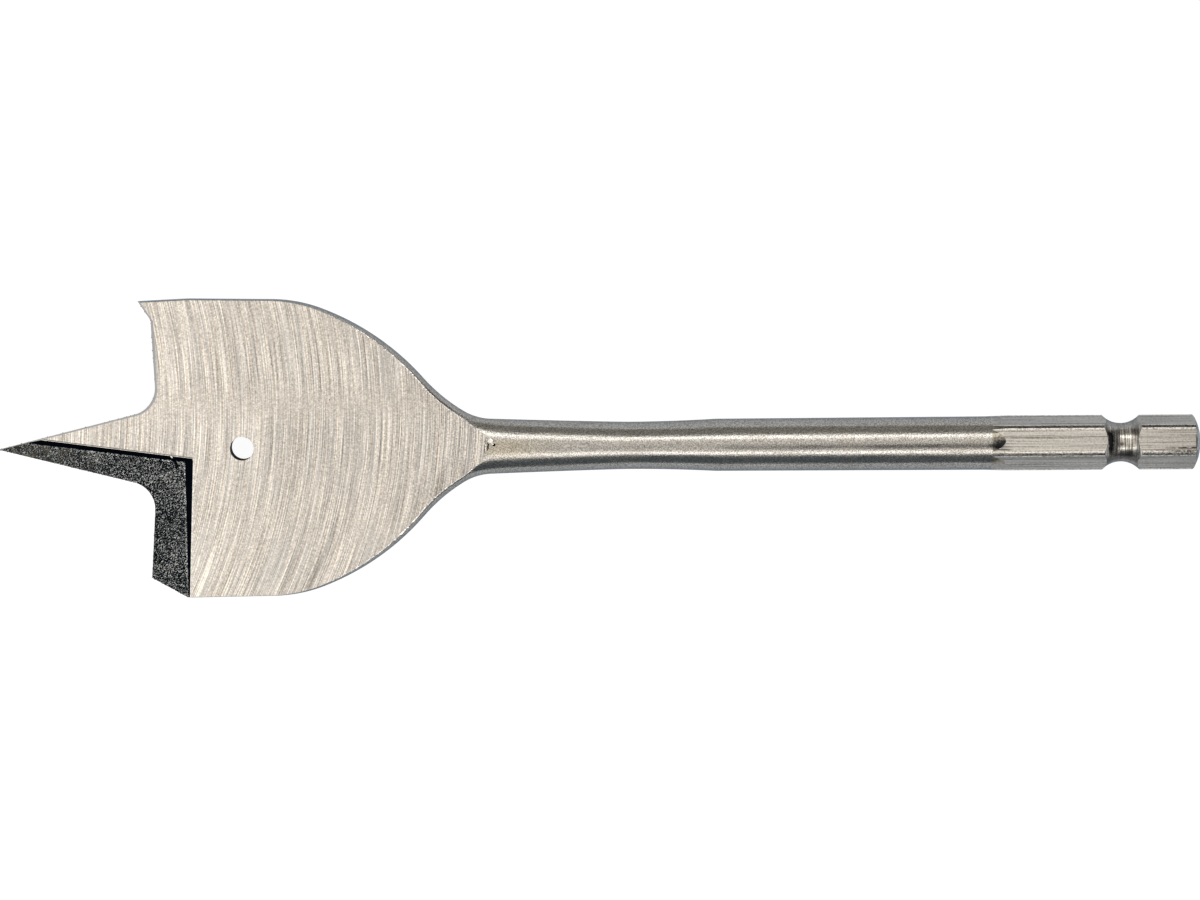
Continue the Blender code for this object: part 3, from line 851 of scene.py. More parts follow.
@dataclass(frozen=True)
class TurnedSteel:
    """The detent groove: turned steel with rings round the bar, near-black painted shade on the front of its
    flank towards the point, and a painted shadow on its side towards -Y.
    """

    rings: Streaks = Streaks(0.13, 2.6, 8.0)
    broad: Streaks = Streaks(0.36, 2.6, 4.0)
    grain: Grain = Grain(4.5, 2.0, 0.65)
    grain_light: Range = (0.36, 0.62, 0.75, 1.2)
    colour: Colour = (0.300, 0.290, 0.272)
    light: Colour = (0.680, 0.655, 0.605)
    light_share: Range = (0.48, 0.56, 0.0, 0.95)
    dark: Colour = (0.070, 0.062, 0.052)
    dark_share: Range = (0.42, 0.52, 0.75, 0.0)
    front: float = 0.1
    side: Colour = (0.340, 0.333, 0.322)
    side_share: Range = (0.55, 0.85, 0.0, 0.85)
    shadow: float = -0.75
    shadow_share: Range = (0.12, 0.35, 0.75, 0.0)
    # Painted shade: near black on the front of the groove's flank towards the point.
    groove_shade: Colour = (0.010, 0.010, 0.010)
    groove_shade_share: float = 0.99
    groove_shade_behind: Range = (-11.65, -11.35, 0.0, 1.0)
    groove_shade_ahead: Range = (-10.85, -10.65, 1.0, 0.0)
    groove_shade_aside: Range = (0.55, 0.85, 1.0, 0.0)
    groove_shade_along: Grain = Grain(1.8, 3.0)
    groove_shade_round: Grain = Grain(1.3)
    ragged_along: float = 0.9
    ragged_round: float = 0.35
    depth: float = 0.008
    roughness: float = 0.24

    def make(self) -> None:
        """Builds the finish."""
        w = Wiring(Skin.TURNED)
        turn, _ = w.around()
        rings, broad = (w.streaks(w.x, turn, kind) for kind in (self.rings, self.broad))
        colour = w.mix(w.level(rings, *self.light_share), self.colour, self.light)
        colour = w.mix(w.level(broad, *self.dark_share), colour, self.dark)
        aside = w.off(turn, self.front)
        colour = w.mix(w.level(aside, *self.side_share), colour, self.side)
        colour = w.mix(w.level(w.off(turn, self.shadow), *self.shadow_share), colour, self.dark)
        colour = w.shade(colour, w.level(w.noise(self.grain), *self.grain_light))
        # Painted shade: a ragged near-black patch on the front of the groove's flank towards the point.
        ragged = w.plus(w.x, w.times(w.noise(self.groove_shade_along), self.ragged_along))
        shaded_flank = w.times(w.level(ragged, *self.groove_shade_behind), w.level(ragged, *self.groove_shade_ahead))
        aside = w.plus(aside, w.times(w.noise(self.groove_shade_round), self.ragged_round))
        shaded_flank = w.times(w.times(shaded_flank, w.level(aside, *self.groove_shade_aside)), self.groove_shade_share)
        w.finish(w.mix(shaded_flank, colour, self.groove_shade), self.roughness, rings, self.depth)


@dataclass(frozen=True)
class RunoutSteel:
    """The run-out of the flats into the rod: plain at the sides, browner at the front, with painted shade in
    a dark patch at the front.
    """

    grain: Grain = Grain(3.5, 2.0, 0.65)
    grain_light: Range = (0.36, 0.62, 0.75, 1.2)
    front: Colour = (0.320, 0.295, 0.250)
    colour: Colour = (0.420, 0.407, 0.385)
    side_share: Range = (0.75, 1.0, 0.0, 1.0)
    # Painted shade: the dark patch at the front of the run-out.
    dark: Colour = (0.020, 0.023, 0.026)
    runout_shade_x: float = -25.25
    runout_shade_length: float = 1.5
    runout_shade_share: Range = (0.50, 1.35, 0.97, 0.0)
    ragged_reach: float = 1.2
    depth: float = 0.010
    roughness: float = 0.28

    def make(self) -> None:
        """Builds the finish."""
        w = Wiring(Skin.RUNOUT)
        turn, around = w.around()
        grain = w.noise(self.grain)
        colour = w.mix(w.level(w.off(turn), *self.side_share), self.front, self.colour)
        colour = w.shade(colour, w.level(grain, *self.grain_light))
        # Painted shade: a ragged dark patch at the front of the run-out.
        along = w.maths("DIVIDE", w.minus(w.x, self.runout_shade_x), self.runout_shade_length)
        away = w.maths("SQRT", w.plus(w.times(along, along), w.times(around, around)))
        away = w.plus(away, w.swing(grain, self.ragged_reach))
        colour = w.mix(w.level(away, *self.runout_shade_share), colour, self.dark)
        w.finish(colour, self.roughness, grain, self.depth)


@dataclass(frozen=True)
class BurrSteel:
    """The burrs: bright steel with a fine grain."""

    grain: Grain = Grain(3.0)
    colour: Colour = (0.60, 0.58, 0.54)
    light: Colour = (0.95, 0.93, 0.89)
    light_share: Range = (0.35, 0.65, 0.0, 1.0)
    depth: float = 0.01
    roughness: float = 0.24

    def make(self) -> None:
        """Builds the finish."""
        w = Wiring(Skin.BURR)
        grain = w.noise(self.grain)
        colour = w.mix(w.level(grain, *self.light_share), self.colour, self.light)
        w.finish(colour, self.roughness, grain, self.depth)


def make_finishes(feet: tuple[Foot, ...]) -> None:
    """Makes the finish of every kind of surface.

    Args:
        feet: Where the recesses' walls stand.
    """
    finishes = [ForgedSteel(), GroundSteel(), ReliefSteel(), BlackPaintedShade(), BlastedSteel(feet)]
    finishes += [DrawnSteel(), TurnedSteel(), RunoutSteel(), BurrSteel()]
    for finish in finishes:
        finish.make()


def linked(name: str, data: bpy.types.ID | None) -> Piece:
    """Adds an object to the scene.

    Args:
        name: Its name.
        data: Its mesh, light or camera.

    Returns:
        The object.
    """
    made = bpy.data.objects.new(name, data)
    bpy.context.scene.collection.objects.link(made)
    return made


def object_of(name: str, bm: Mesh, *finishes: bpy.types.Material) -> Piece:
    """Makes an object of a bmesh, and frees it.

    Args:
        name: The object's name.
        bm: Its faces.
        *finishes: Its finishes, in the order of the faces' material numbers.

    Returns:
        The object, linked to the scene.
    """
    mesh = bpy.data.meshes.new(name)
    bm.to_mesh(mesh)
    bm.free()
    for finish in finishes:
        mesh.materials.append(finish)
    return linked(name, mesh)


def turned_half_way(source: Piece) -> Piece:
    """Copies a cutter and turns the copy half a turn about the tool's axis.

    Args:
        source: The cutter.

    Returns:
        The turned copy.
    """
    copy = linked(source.name, source.data.copy())
    copy.data.transform(Matrix.Rotation(math.pi, 4, "X"))
    return copy


def keep_modified(target: Piece) -> None:
    """Turns an object with its modifiers into a plain mesh.

    Args:
        target: The object.
    """
    evaluated = target.evaluated_get(bpy.context.evaluated_depsgraph_get())
    finished = bpy.data.meshes.new_from_object(evaluated)
    target.modifiers.clear()
    target.data = finished


def cut(target: Piece, cutters: list[Piece]) -> None:
    """Takes cutters away from a piece, and removes them.

    Args:
        target: The piece, whose new faces take the cutters' finishes.
        cutters: The closed solids to take away.
    """
    for cutter in cutters:
        modifier = target.modifiers.new(cutter.name, "BOOLEAN")
        modifier.operation = "DIFFERENCE"
        modifier.solver = "EXACT"
        modifier.material_mode = "TRANSFER"
        modifier.object = cutter
    keep_modified(target)
    for cutter in cutters:
        bpy.data.objects.remove(cutter)


def add_sides(bm: Mesh, rings: list[list[Corner]]) -> None:
    """Joins rings of as many corners with faces.

    Args:
        bm: The mesh that gets the faces.
        rings: The rings, in order.
    """
    for ring, following in zip(rings[:-1], rings[1:], strict=True):
        for i, corner in enumerate(ring):
            after = (i + 1) % len(ring)
            bm.faces.new((corner, ring[after], following[after], following[i]))


def add_tube(bm: Mesh, rings: list[list[Corner]]) -> None:
    """Joins rings to a closed tube.

    Args:
        bm: The mesh that gets the faces.
        rings: The rings, in order.
    """
    add_sides(bm, rings)
    bm.faces.new(rings[0])
    bm.faces.new(rings[-1])


def prism(name: str, near: list[Vector], far: list[Vector], skin: Skin) -> Piece:
    """Makes a closed prism between two outlines.

    Args:
        name: Its name.
        near: The corners of one end.
        far: The corners of the other end.
        skin: The kind of surface that it leaves.

    Returns:
        The prism.
    """
    bm = bmesh.new()
    rings = [[bm.verts.new(corner) for corner in outline] for outline in (near, far)]
    for ring in rings:
        bm.faces.new(ring)
    add_sides(bm, rings)
    bmesh.ops.recalc_face_normals(bm, faces=bm.faces)
    return object_of(name, bm, skin.finish)


def upright(name: str, outline: list[Vector], skin: Skin) -> Piece:
    """Extrudes an outline in XY through the whole blade."""
    near, far = ([Vector((p.x, p.y, z)) for p in outline] for z in (-OVERCUT, OVERCUT))
    return prism(name, near, far, skin)


def bar_of(segments: int, back: Span, front: Span, turn: float = 0.0) -> Mesh:
    """Makes a closed cone, cylinder or prism about the X axis.

    Args:
        segments: Its number of sides.
        back: The place along X and the radius of its back end.
        front: The same of its front end.
        turn: How far it is turned about the axis, in radians.

    Returns:
        The solid.
    """
    placed = Matrix.Translation(((back[0] + front[0]) / 2, 0.0, 0.0))
    turned = Matrix.Rotation(turn, 4, "X") @ Matrix.Rotation(math.pi / 2, 4, "Y")
    depth = back[0] - front[0]
    bm = bmesh.new()
    bmesh.ops.create_cone(
        bm, cap_ends=True, segments=segments, radius1=front[1], radius2=back[1], depth=depth
    )
    bmesh.ops.transform(bm, matrix=placed @ turned, verts=bm.verts)
    return bm


@dataclass
class ForgedBlank:
    """The forged bar: the drive's blank, the rod, its waist, the neck and the slab of the blade."""

    overall_length: float = 0.1521
    blade_width: float = 0.0380
    forged_thickness: float = 0.0033
    wings_x: float = -0.1321
    blade_straight: float = 0.0145
    back_taper_deg: float = 0.8
    spur_side_taper_deg: float = 2.6
    spur_side_length: float = 0.0042
    corner_radius: float = 0.0183
    corner_deg: float = 21.0
    steepest_deg: float = 48.8
    hollow_radius: float = 0.0215
    hollow_deg: float = 31.1
    neck_fillet_radius: float = 0.0071
    edge_round_at_neck: float = 0.00145
    edge_round_at_blade: float = 0.00030
    edge_open_length: float = 0.0036
    neck_width: float = 0.0070
    neck_thickness: float = 0.0053
    neck_length: float = 0.0173
    neck_growth_power: float = 1.2
    web_setback: float = 0.0061
    web_blend_length: float = 0.0090
    ground_end_setback: float = 0.0006
    waist_diameter: float = 0.0060
    waist_length: float = 0.0112
    rod_front_diameter: float = 0.00662
    rod_back_diameter: float = 0.00678
    hex_corner_diameter: float = 0.00695
    hex_length: float = 0.0264
    runout_length: float = 0.0016
    end_dome_radius: float = 0.0068
    end_face_diameter: float = 0.0024
    quarter_steps: int = 24
    arc_steps: int = 20
    rod_steps: int = 16
    waist_steps: int = 16
    neck_steps: int = 28
    web_steps: int = 14
    dome_steps: int = 10
    shoulder: list[Triple] = field(init=False)

    def __post_init__(self) -> None:
        """Works out the shoulder's line."""
        self.shoulder = self.shoulder_points()

    @property
    def neck_x(self) -> float:
        """Where the shoulder's fillet ends."""
        return self.shoulder[-1][0]

    @property
    def waist_x(self) -> float:
        """Where the neck begins to widen from the waist."""
        return self.neck_x + self.neck_length

    @property
    def web_x(self) -> float:
        """Where the forging begins to thicken towards the neck."""
        return self.neck_x - self.web_setback

    @property
    def ground_end_x(self) -> float:
        """Where the ground faces end, just ahead of the neck."""
        return self.neck_x - self.ground_end_setback

    def neck_slope(self) -> float:
        """Gives the slope at which the neck widens where the shoulder's fillet meets it."""
        growth = self.neck_growth_power * (self.neck_width - self.waist_diameter) / 2
        return math.atan(growth / self.neck_length)

    def shoulder_side(self) -> float:
        """Gives half the blade's width where the shoulder begins."""
        straight = self.blade_straight - self.spur_side_length
        return self.blade_width / 2 - straight * tan(self.back_taper_deg)

    def shoulder_arcs(self) -> list[Arc]:
        """Shapes the shoulder: its corner, flank, hollow and fillet.

        Returns:
            The arcs, from the blade to the neck.
        """
        corner = math.radians(self.corner_deg)
        steepest = math.radians(self.steepest_deg)
        hollow = math.radians(self.hollow_deg)
        drop = self.shoulder_side() - self.neck_width / 2
        drop -= self.corner_radius * (1 - math.cos(corner))
        drop -= self.hollow_radius * (math.cos(hollow) - math.cos(steepest))
        drop -= self.neck_fillet_radius * (math.cos(self.neck_slope()) - math.cos(hollow))
        flank_radius = drop / (math.cos(corner) - math.cos(steepest))
        return [
            Arc(self.corner_radius, 0.0, corner),
            Arc(flank_radius, corner, steepest),
            Arc(self.hollow_radius, steepest, hollow),
            Arc(self.neck_fillet_radius, hollow, self.neck_slope()),
        ]

    def shoulder_points(self) -> list[Triple]:
        """Follows the shoulder from the blade to the neck.

        Returns:
            Points as x, half width and slope.
        """
        x = self.wings_x + self.blade_straight
        half_width = self.shoulder_side()
        points = [(x, half_width, 0.0)]
        for arc in self.shoulder_arcs():
            turn = 1 if arc.end > arc.start else -1
            for slope in spread(arc.start, arc.end, self.arc_steps, start=1):
                along = turn * arc.radius * (math.sin(slope) - math.sin(arc.start))
                inwards = turn * arc.radius * (math.cos(arc.start) - math.cos(slope))
                points.append((x + along, half_width - inwards, slope))
            x, half_width, _ = points[-1]
        return points

    def round_section(self, x: float, diameter: float) -> Section:
        """Gives a section of the rod."""
        return Section(x, diameter / 2, diameter / 2, diameter / 2)

    def dome_sections(self) -> list[Section]:
        """Shapes the domed end of the shank.

        Returns:
            The sections, from its flat end face to the full bar.
        """
        flat = self.end_face_diameter / 2
        full = self.hex_corner_diameter / 2
        level = math.sqrt(self.end_dome_radius**2 - flat**2)
        sections = []
        for radius in spread(flat, full, self.dome_steps):
            x = math.sqrt(self.end_dome_radius**2 - radius**2) - level
            sections.append(self.round_section(x, 2 * radius))
        return sections

    def rod_sections(self) -> list[Section]:
        """Shapes the bar behind the neck: the drive's blank, the rod and its waist.

        Returns:
            The sections, from the drive to the waist.
        """
        front_x = self.waist_x + self.waist_length
        back_x = -self.hex_length - self.runout_length / 2
        sections = [self.round_section(-self.hex_length + self.runout_length, self.hex_corner_diameter)]
        for share in spread(0.0, 1.0, self.rod_steps):
            diameter = blend(share, self.rod_back_diameter, self.rod_front_diameter)
            sections.append(self.round_section(blend(share, back_x, front_x), diameter))
        for share in spread(0.0, 1.0, self.waist_steps, start=1):
            diameter = blend((1 - share) ** 2, self.waist_diameter, self.rod_front_diameter)
            sections.append(self.round_section(blend(share, front_x, self.waist_x), diameter))
        return sections

    def half_thickness(self, x: float) -> float:
        """Finds half the forging's thickness.

        Args:
            x: A place between the waist and the point.

        Returns:
            The half thickness there.
        """
        share = min((self.waist_x - x) / self.neck_length, 1.0)
        neck = blend(share, self.waist_diameter, self.neck_thickness) / 2
        risen = smooth(x, self.web_x, self.web_x + self.web_blend_length)
        return blend(risen, self.forged_thickness / 2, neck)

    def neck_sections(self) -> list[Section]:
        """Shapes the stretch from the waist to the neck, which widens, flattens and stays oval.

        Returns:
            The sections, from the waist to the neck.
        """
        web_end = self.web_x + self.web_blend_length
        places = spread(self.waist_x, web_end, self.neck_steps, start=1)
        places += spread(web_end, self.neck_x, self.web_steps, start=1)[:-1]
        sections = []
        for x in places:
            grown = ((self.waist_x - x) / self.neck_length) ** self.neck_growth_power
            half_width = blend(grown, self.waist_diameter, self.neck_width) / 2
            sections.append(Section(x, half_width, self.half_thickness(x), half_width))
        return sections

    def shoulder_sections(self) -> list[Section]:
        """Shapes the stretch from the neck to the blade, where the oval opens out to a slab.

        Returns:
            The sections, from the neck to the blade.
        """
        start_x = self.shoulder[0][0]
        sections = []
        for x, half_width, slope in reversed(self.shoulder):
            share = (x - start_x) / (self.neck_x - start_x)
            rounding = blend(share, self.edge_round_at_blade, self.edge_round_at_neck) / math.cos(slope)
            oval = smooth(x, self.neck_x - self.edge_open_length, self.neck_x)
            edge = blend(oval, min(rounding, half_width), half_width)
            sections.append(Section(x, half_width, self.half_thickness(x), edge))
        return sections

    def blade_sections(self) -> list[Section]:
        """Shapes the straight blade and the stock of the wings and the point.

        Returns:
            The sections at its two ends.
        """
        widest_x = self.wings_x + self.spur_side_length
        end_x = -self.overall_length - OVERCUT / 2
        half_width = self.blade_width / 2
        narrowed = half_width - (widest_x - end_x) * tan(self.spur_side_taper_deg)
        half_thickness = self.forged_thickness / 2
        return [
            Section(widest_x, half_width, half_thickness, self.edge_round_at_blade),
            Section(end_x, narrowed, half_thickness, self.edge_round_at_blade),
        ]

    def ring(self, section: Section) -> list[Vector]:
        """Places the points round one section.

        Args:
            section: The section.

        Returns:
            The points, anticlockwise seen from +X.
        """
        land = section.half_width - section.edge
        ring = []
        for y_sign, z_sign, rising in ((1, 1, True), (-1, 1, False), (-1, -1, True), (1, -1, False)):
            for step in range(self.quarter_steps + 1):
                share = step / self.quarter_steps if rising else 1 - step / self.quarter_steps
                angle = share * math.pi / 2
                y = y_sign * (land + section.edge * math.cos(angle))
                z = z_sign * section.half_thickness * math.sin(angle)
                ring.append(Vector((section.x, y, z)))
        return ring

    def build(self) -> Piece:
        """Lofts the forging from the shank's end to past the point.

        Returns:
            The closed forging.
        """
        sections = self.dome_sections() + self.rod_sections() + self.neck_sections()
        sections += self.shoulder_sections() + self.blade_sections()
        bm = bmesh.new()
        add_tube(bm, [[bm.verts.new(point) for point in self.ring(section)] for section in sections])
        bmesh.ops.remove_doubles(bm, verts=bm.verts, dist=MERGE_DISTANCE)
        bmesh.ops.recalc_face_normals(bm, faces=bm.faces)
        return object_of("spade_bit", bm, Skin.FORGED.finish)


@dataclass
class GroundBlade:
    """The grinding of the blade's faces, wings and point, and the hole."""

    blank: ForgedBlank
    thickness: float = 0.0030
    recess_depth: float = 0.0010
    point_length: float = 0.0200
    point_half_angle_deg: float = 13.9
    point_fillet_radius: float = 0.00355
    wing_edge_deg: float = 2.6
    spur_width: float = 0.0028
    spur_angle_deg: float = 33.6
    clearance_deg: float = 13.0
    cut_corner_width: float = 0.0026
    cut_corner_length: float = 0.0047
    hole_diameter: float = 0.0030
    hole_setback: float = 0.0108
    ground_rise_share: float = 0.875
    ground_rise_steps: int = 32
    fillet_steps: int = 20
    hole_segments: int = 96

    @property
    def tip_x(self) -> float:
        """Where the point ends."""
        return -self.blank.overall_length

    @property
    def half_width(self) -> float:
        """Half the blade's width."""
        return self.blank.blade_width / 2

    @property
    def cutting_plane(self) -> float:
        """The mean height of the cutting edges off the mid plane."""
        return (self.thickness - self.recess_depth) / 2

    def cutting_edge_x(self, y: float) -> float:
        """Gives where a wing's cutting edge lies at this distance from the axis."""
        return self.blank.wings_x - y * tan(self.wing_edge_deg)

    def fillet(self, before: Vector, corner: Vector, after: Vector) -> list[Vector]:
        """Rounds a corner of an outline.

        Args:
            before: A point on the side that enters the corner.
            corner: The sharp corner.
            after: A point on the side that leaves it.

        Returns:
            Points along the arc.
        """
        entering = (before - corner).normalized()
        leaving = (after - corner).normalized()
        half_angle = entering.angle(leaving) / 2
        reach = self.point_fillet_radius / math.tan(half_angle)
        centre = corner + (entering + leaving).normalized() * self.point_fillet_radius / math.sin(half_angle)
        start = corner + entering * reach - centre
        sweep = start.angle_signed(corner + leaving * reach - centre)
        steps = range(self.fillet_steps + 1)
        return [centre + Matrix.Rotation(-sweep * step / self.fillet_steps, 2) @ start for step in steps]

    def gullet_outline(self) -> list[Vector]:
        """Outlines the space ahead of the wing at +Y.

        Returns:
            Its corners, along the flank, the fillet, the cutting edge and the spur.
        """
        flank = tan(self.point_half_angle_deg)
        tip_x = self.tip_x - tan(self.clearance_deg) * self.cutting_plane
        root_y = flank * (self.blank.wings_x - tip_x) / (1 + flank * tan(self.wing_edge_deg))
        root = Vector((self.cutting_edge_x(root_y), root_y))
        start = Vector((tip_x - OVERCUT, -flank * OVERCUT))
        kink_y = self.half_width - self.spur_width
        kink = Vector((self.cutting_edge_x(kink_y), kink_y))
        reach = self.spur_width + OVERCUT
        outer = kink + Vector((-reach * tan(self.spur_angle_deg), reach))
        rounded = self.fillet(start, root, kink)
        return [start, *rounded, kink, outer, Vector((start.x, outer.y))]

    def ground_height(self, x: float) -> float:
        """Gives how far a ground face lies off the mid plane: it is flat, and runs out up the neck."""
        rise = self.blank.half_thickness(x) - self.blank.forged_thickness / 2
        return self.thickness / 2 + self.ground_rise_share * rise

    def face_cutter(self) -> Piece:
        """Makes the stock that the wheel takes off the front face.

        Returns:
            The closed block, whose underside is the ground face.
        """
        start_x = self.tip_x - 2 * OVERCUT
        end_x = self.blank.ground_end_x
        places = spread(self.blank.web_x, end_x, self.ground_rise_steps)
        risen = [(x, self.ground_height(x)) for x in places]
        profile = [(start_x, OVERCUT), (start_x, self.thickness / 2), *risen, (end_x, OVERCUT)]
        reach = self.half_width + OVERCUT
        near, far = ([Vector((x, y, z)) for x, z in profile] for y in (-reach, reach))
        return prism("face_grinding", near, far, Skin.GROUND)

    def corner_cutter(self) -> Piece:
        """Makes the stock that is cut off the corner of the wing at -Y.

        Returns:
            The closed wedge.
        """
        inner_y = self.half_width - self.cut_corner_width
        inner = Vector((self.cutting_edge_x(inner_y), -inner_y))
        outer = Vector((inner.x + self.cut_corner_length, -self.half_width))
        along = (outer - inner).normalized() * OVERCUT
        outline = [inner - along, outer + along, Vector(((inner - along).x, (outer + along).y))]
        return upright("corner_cut", outline, Skin.RELIEF)

    def cutters(self) -> list[Piece]:
        """Makes the face grinding, the gullets, the corner cut and the hole.

        Returns:
            The cutters, in the order of the work.
        """
        face = self.face_cutter()
        gullet = upright("gullet", self.gullet_outline(), Skin.RELIEF)
        for vertex in gullet.data.vertices:
            vertex.co.x += tan(self.clearance_deg) * (vertex.co.z + self.cutting_plane)
        corner = self.corner_cutter()
        bm = bmesh.new()
        bmesh.ops.create_cone(
            bm,
            cap_ends=True,
            segments=self.hole_segments,
            radius1=self.hole_diameter / 2,
            radius2=self.hole_diameter / 2,
            depth=2 * OVERCUT,
            matrix=Matrix.Translation((self.blank.wings_x + self.hole_setback, 0.0, 0.0)),
        )
        hole = object_of("hole", bm, Skin.WALL.finish)
        return [face, turned_half_way(face), gullet, turned_half_way(gullet), corner, hole]


@dataclass
class RakeRecess:
    """The two rake recesses: floor, walls, the bright rim of the walls, and the grit on the floor."""

    blade: GroundBlade
    tilt_deg: float = 2.7
    setback: float = 0.0047
    corner_offset: float = 0.0012
    corner_radius: float = 0.0002
    corner_steps: int = 5
    corner_profile: float = 0.5
    point_wall_deg: float = 7.4
    point_wall_slope_deg: float = 60.0
    wing_wall_deg: float = 2.1
    wing_wall_slope_deg: float = 42.0
    rim_width: float = 0.00011
    rim_depth: float = 0.00007
    chip_spacing: float = 0.00017
    chip_radius: float = 0.00010
    chip_height: float = 0.00006
    chip_sides: int = 5
    chip_turns: tuple[Triple, Triple] = ((-0.5, -0.5, 0.0), (0.5, 0.5, math.tau))
    chip_scales: tuple[Triple, Triple] = ((0.45, 0.45, 0.4), (1.3, 1.0, 1.2))
    most_chips: float = 6.0e7
    seed: int = 11

    def corner(self, shift: float = 0.0) -> Vector:
        """Gives where the two walls meet on the face, or outside it by a shift."""
        x = self.blade.blank.wings_x + self.setback + shift
        return Vector((x, shift - self.corner_offset, self.blade.thickness / 2))

    def headings(self) -> Span:
        """Gives where the point's wall and the wing's wall face in XY, in degrees."""
        return 90 - self.point_wall_deg, -self.wing_wall_deg

    def slopes(self) -> Span:
        """Gives how steeply the two walls stand, in degrees."""
        return self.point_wall_slope_deg, self.wing_wall_slope_deg

    def feet(self) -> tuple[Foot, ...]:
        """Tells the finish of the floor where the two walls stand.

        Returns:
            The feet of the point's wall and the wing's wall.
        """
        corner = tuple(self.corner() / MM)
        walls = zip(self.headings(), self.slopes(), strict=True)
        return tuple(Foot(corner, heading, slope) for heading, slope in walls)

    def wall_normal(self, heading_deg: float, slope_deg: float) -> Vector:
        """Gives the outward normal of a wall.

        Args:
            heading_deg: Where the wall faces in XY.
            slope_deg: How steeply it stands.

        Returns:
            The normal.
        """
        heading = math.radians(heading_deg)
        slope = math.radians(slope_deg)
        level = math.sin(slope)
        return Vector((math.cos(heading) * level, math.sin(heading) * level, -math.cos(slope)))

    def trimmed_block(self, depth: float, shift: float, tilt_deg: float, slopes: Span) -> Mesh:
        """Trims a block of stock to a floor and two walls.

        Args:
            depth: The floor's depth at the axis.
            shift: How far the walls stand outside the recess's own corner.
            tilt_deg: How far the floor rises towards the side of the bit.
            slopes: How steeply the point's wall and the wing's wall stand, in degrees.

        Returns:
            The closed block, whose walls have material 0 and floor material 1.
        """
        blade = self.blade
        size = Vector((blade.point_length + self.setback + 2 * OVERCUT, blade.blank.blade_width, 2 * OVERCUT))
        centre = Vector((blade.tip_x - OVERCUT + size.x / 2, -blade.half_width / 2, OVERCUT))
        bm = bmesh.new()
        bmesh.ops.create_cube(bm, size=1.0, matrix=Matrix.Translation(centre) @ Matrix.Diagonal((*size, 1.0)))
        tilt = math.radians(tilt_deg)
        floor = Vector((0.0, -math.sin(tilt), -math.cos(tilt)))
        walls = [self.wall_normal(*wall) for wall in zip(self.headings(), slopes, strict=True)]
        bottom = Vector((0.0, 0.0, blade.thickness / 2 - depth))
        for place, normal in [(bottom, floor), *((self.corner(shift), wall) for wall in walls)]:
            geometry = bm.verts[:] + bm.edges[:] + bm.faces[:]
            found = bmesh.ops.bisect_plane(
                bm, geom=geometry, plane_co=place, plane_no=normal, clear_outer=True
            )
            edges = [item for item in found["geom_cut"] if isinstance(item, bmesh.types.BMEdge)]
            bmesh.ops.contextual_create(bm, geom=edges)
        bmesh.ops.recalc_face_normals(bm, faces=bm.faces)
        self.round_corner(bm, walls, self.corner_radius + shift)
        for face in bm.faces:
            face.material_index = 1 if face.normal.angle(floor) < SAME_DIRECTION_RAD else 0
        return bm

    def round_corner(self, bm: Mesh, walls: list[Vector], radius: float) -> None:
        """Rounds the edge between the two walls.

        Args:
            bm: The block.
            walls: The walls' normals.
            radius: The rounding's radius.
        """
        between = []
        for edge in bm.edges:
            normals = [face.normal for face in edge.link_faces]
            if all(any(normal.angle(wall) < SAME_DIRECTION_RAD for normal in normals) for wall in walls):
                between.append(edge)
        bmesh.ops.bevel(
            bm,
            geom=between,
            offset=radius,
            segments=self.corner_steps,
            profile=self.corner_profile,
            affect="EDGES",
        )

    def cutters(self) -> list[Piece]:
        """Makes the two recesses and their rims.

        Returns:
            The cutters.
        """
        block = self.trimmed_block(self.blade.recess_depth, 0.0, self.tilt_deg, self.slopes())
        recess = object_of("recess", block, Skin.WALL.finish, Skin.BLASTED.finish)
        slope = math.degrees(math.atan2(self.rim_depth, self.rim_width))
        block = self.trimmed_block(self.rim_depth, self.rim_width, 0.0, (slope, slope))
        rim = object_of("recess_rim", block, Skin.BURR.finish, Skin.BURR.finish)
        return [recess, turned_half_way(recess), rim, turned_half_way(rim)]

    def grit_group(self) -> NodeGroup:
        """Makes the tree that scatters small pyramids over the faces that it is given.

        Returns:
            The tree.
        """
        lengths = dict.fromkeys(("Spacing", "Chip radius", "Chip height"), "Float")
        inputs = {"Floors": "Geometry", **lengths, "Seed": "Int", "Finish": "Material"}
        group = NodeGroup("grit_scatter", inputs, "Grit")
        given = group.given
        scatter = group.node(
            "GeometryNodeDistributePointsOnFaces",
            {
                "Mesh": given["Floors"],
                "Distance Min": given["Spacing"],
                "Density Max": self.most_chips,
                "Seed": given["Seed"],
            },
            distribute_method="POISSON",
        )
        sides = {"Vertices": self.chip_sides, "Radius Top": 0.0}
        sizes = {"Radius Bottom": given["Chip radius"], "Depth": given["Chip height"]}
        chip = group.node("GeometryNodeMeshCone", {**sides, **sizes}, fill_type="NONE")
        spin, scale = (
            group.node(
                "FunctionNodeRandomValue",
                {"Min": low, "Max": high, "Seed": given["Seed"]},
                data_type="FLOAT_VECTOR",
            ).outputs["Value"]
            for low, high in (self.chip_turns, self.chip_scales)
        )
        turns = {"Rotation": scatter.outputs["Rotation"], "Rotate By": spin}
        turned = group.node("FunctionNodeRotateRotation", turns, rotation_space="LOCAL")
        placed = group.node(
            "GeometryNodeInstanceOnPoints",
            {
                "Points": scatter.outputs["Points"],
                "Instance": chip.outputs["Mesh"],
                "Rotation": turned.outputs["Rotation"],
                "Scale": scale,
            },
        )
        group.finish(placed.outputs["Instances"])
        return group

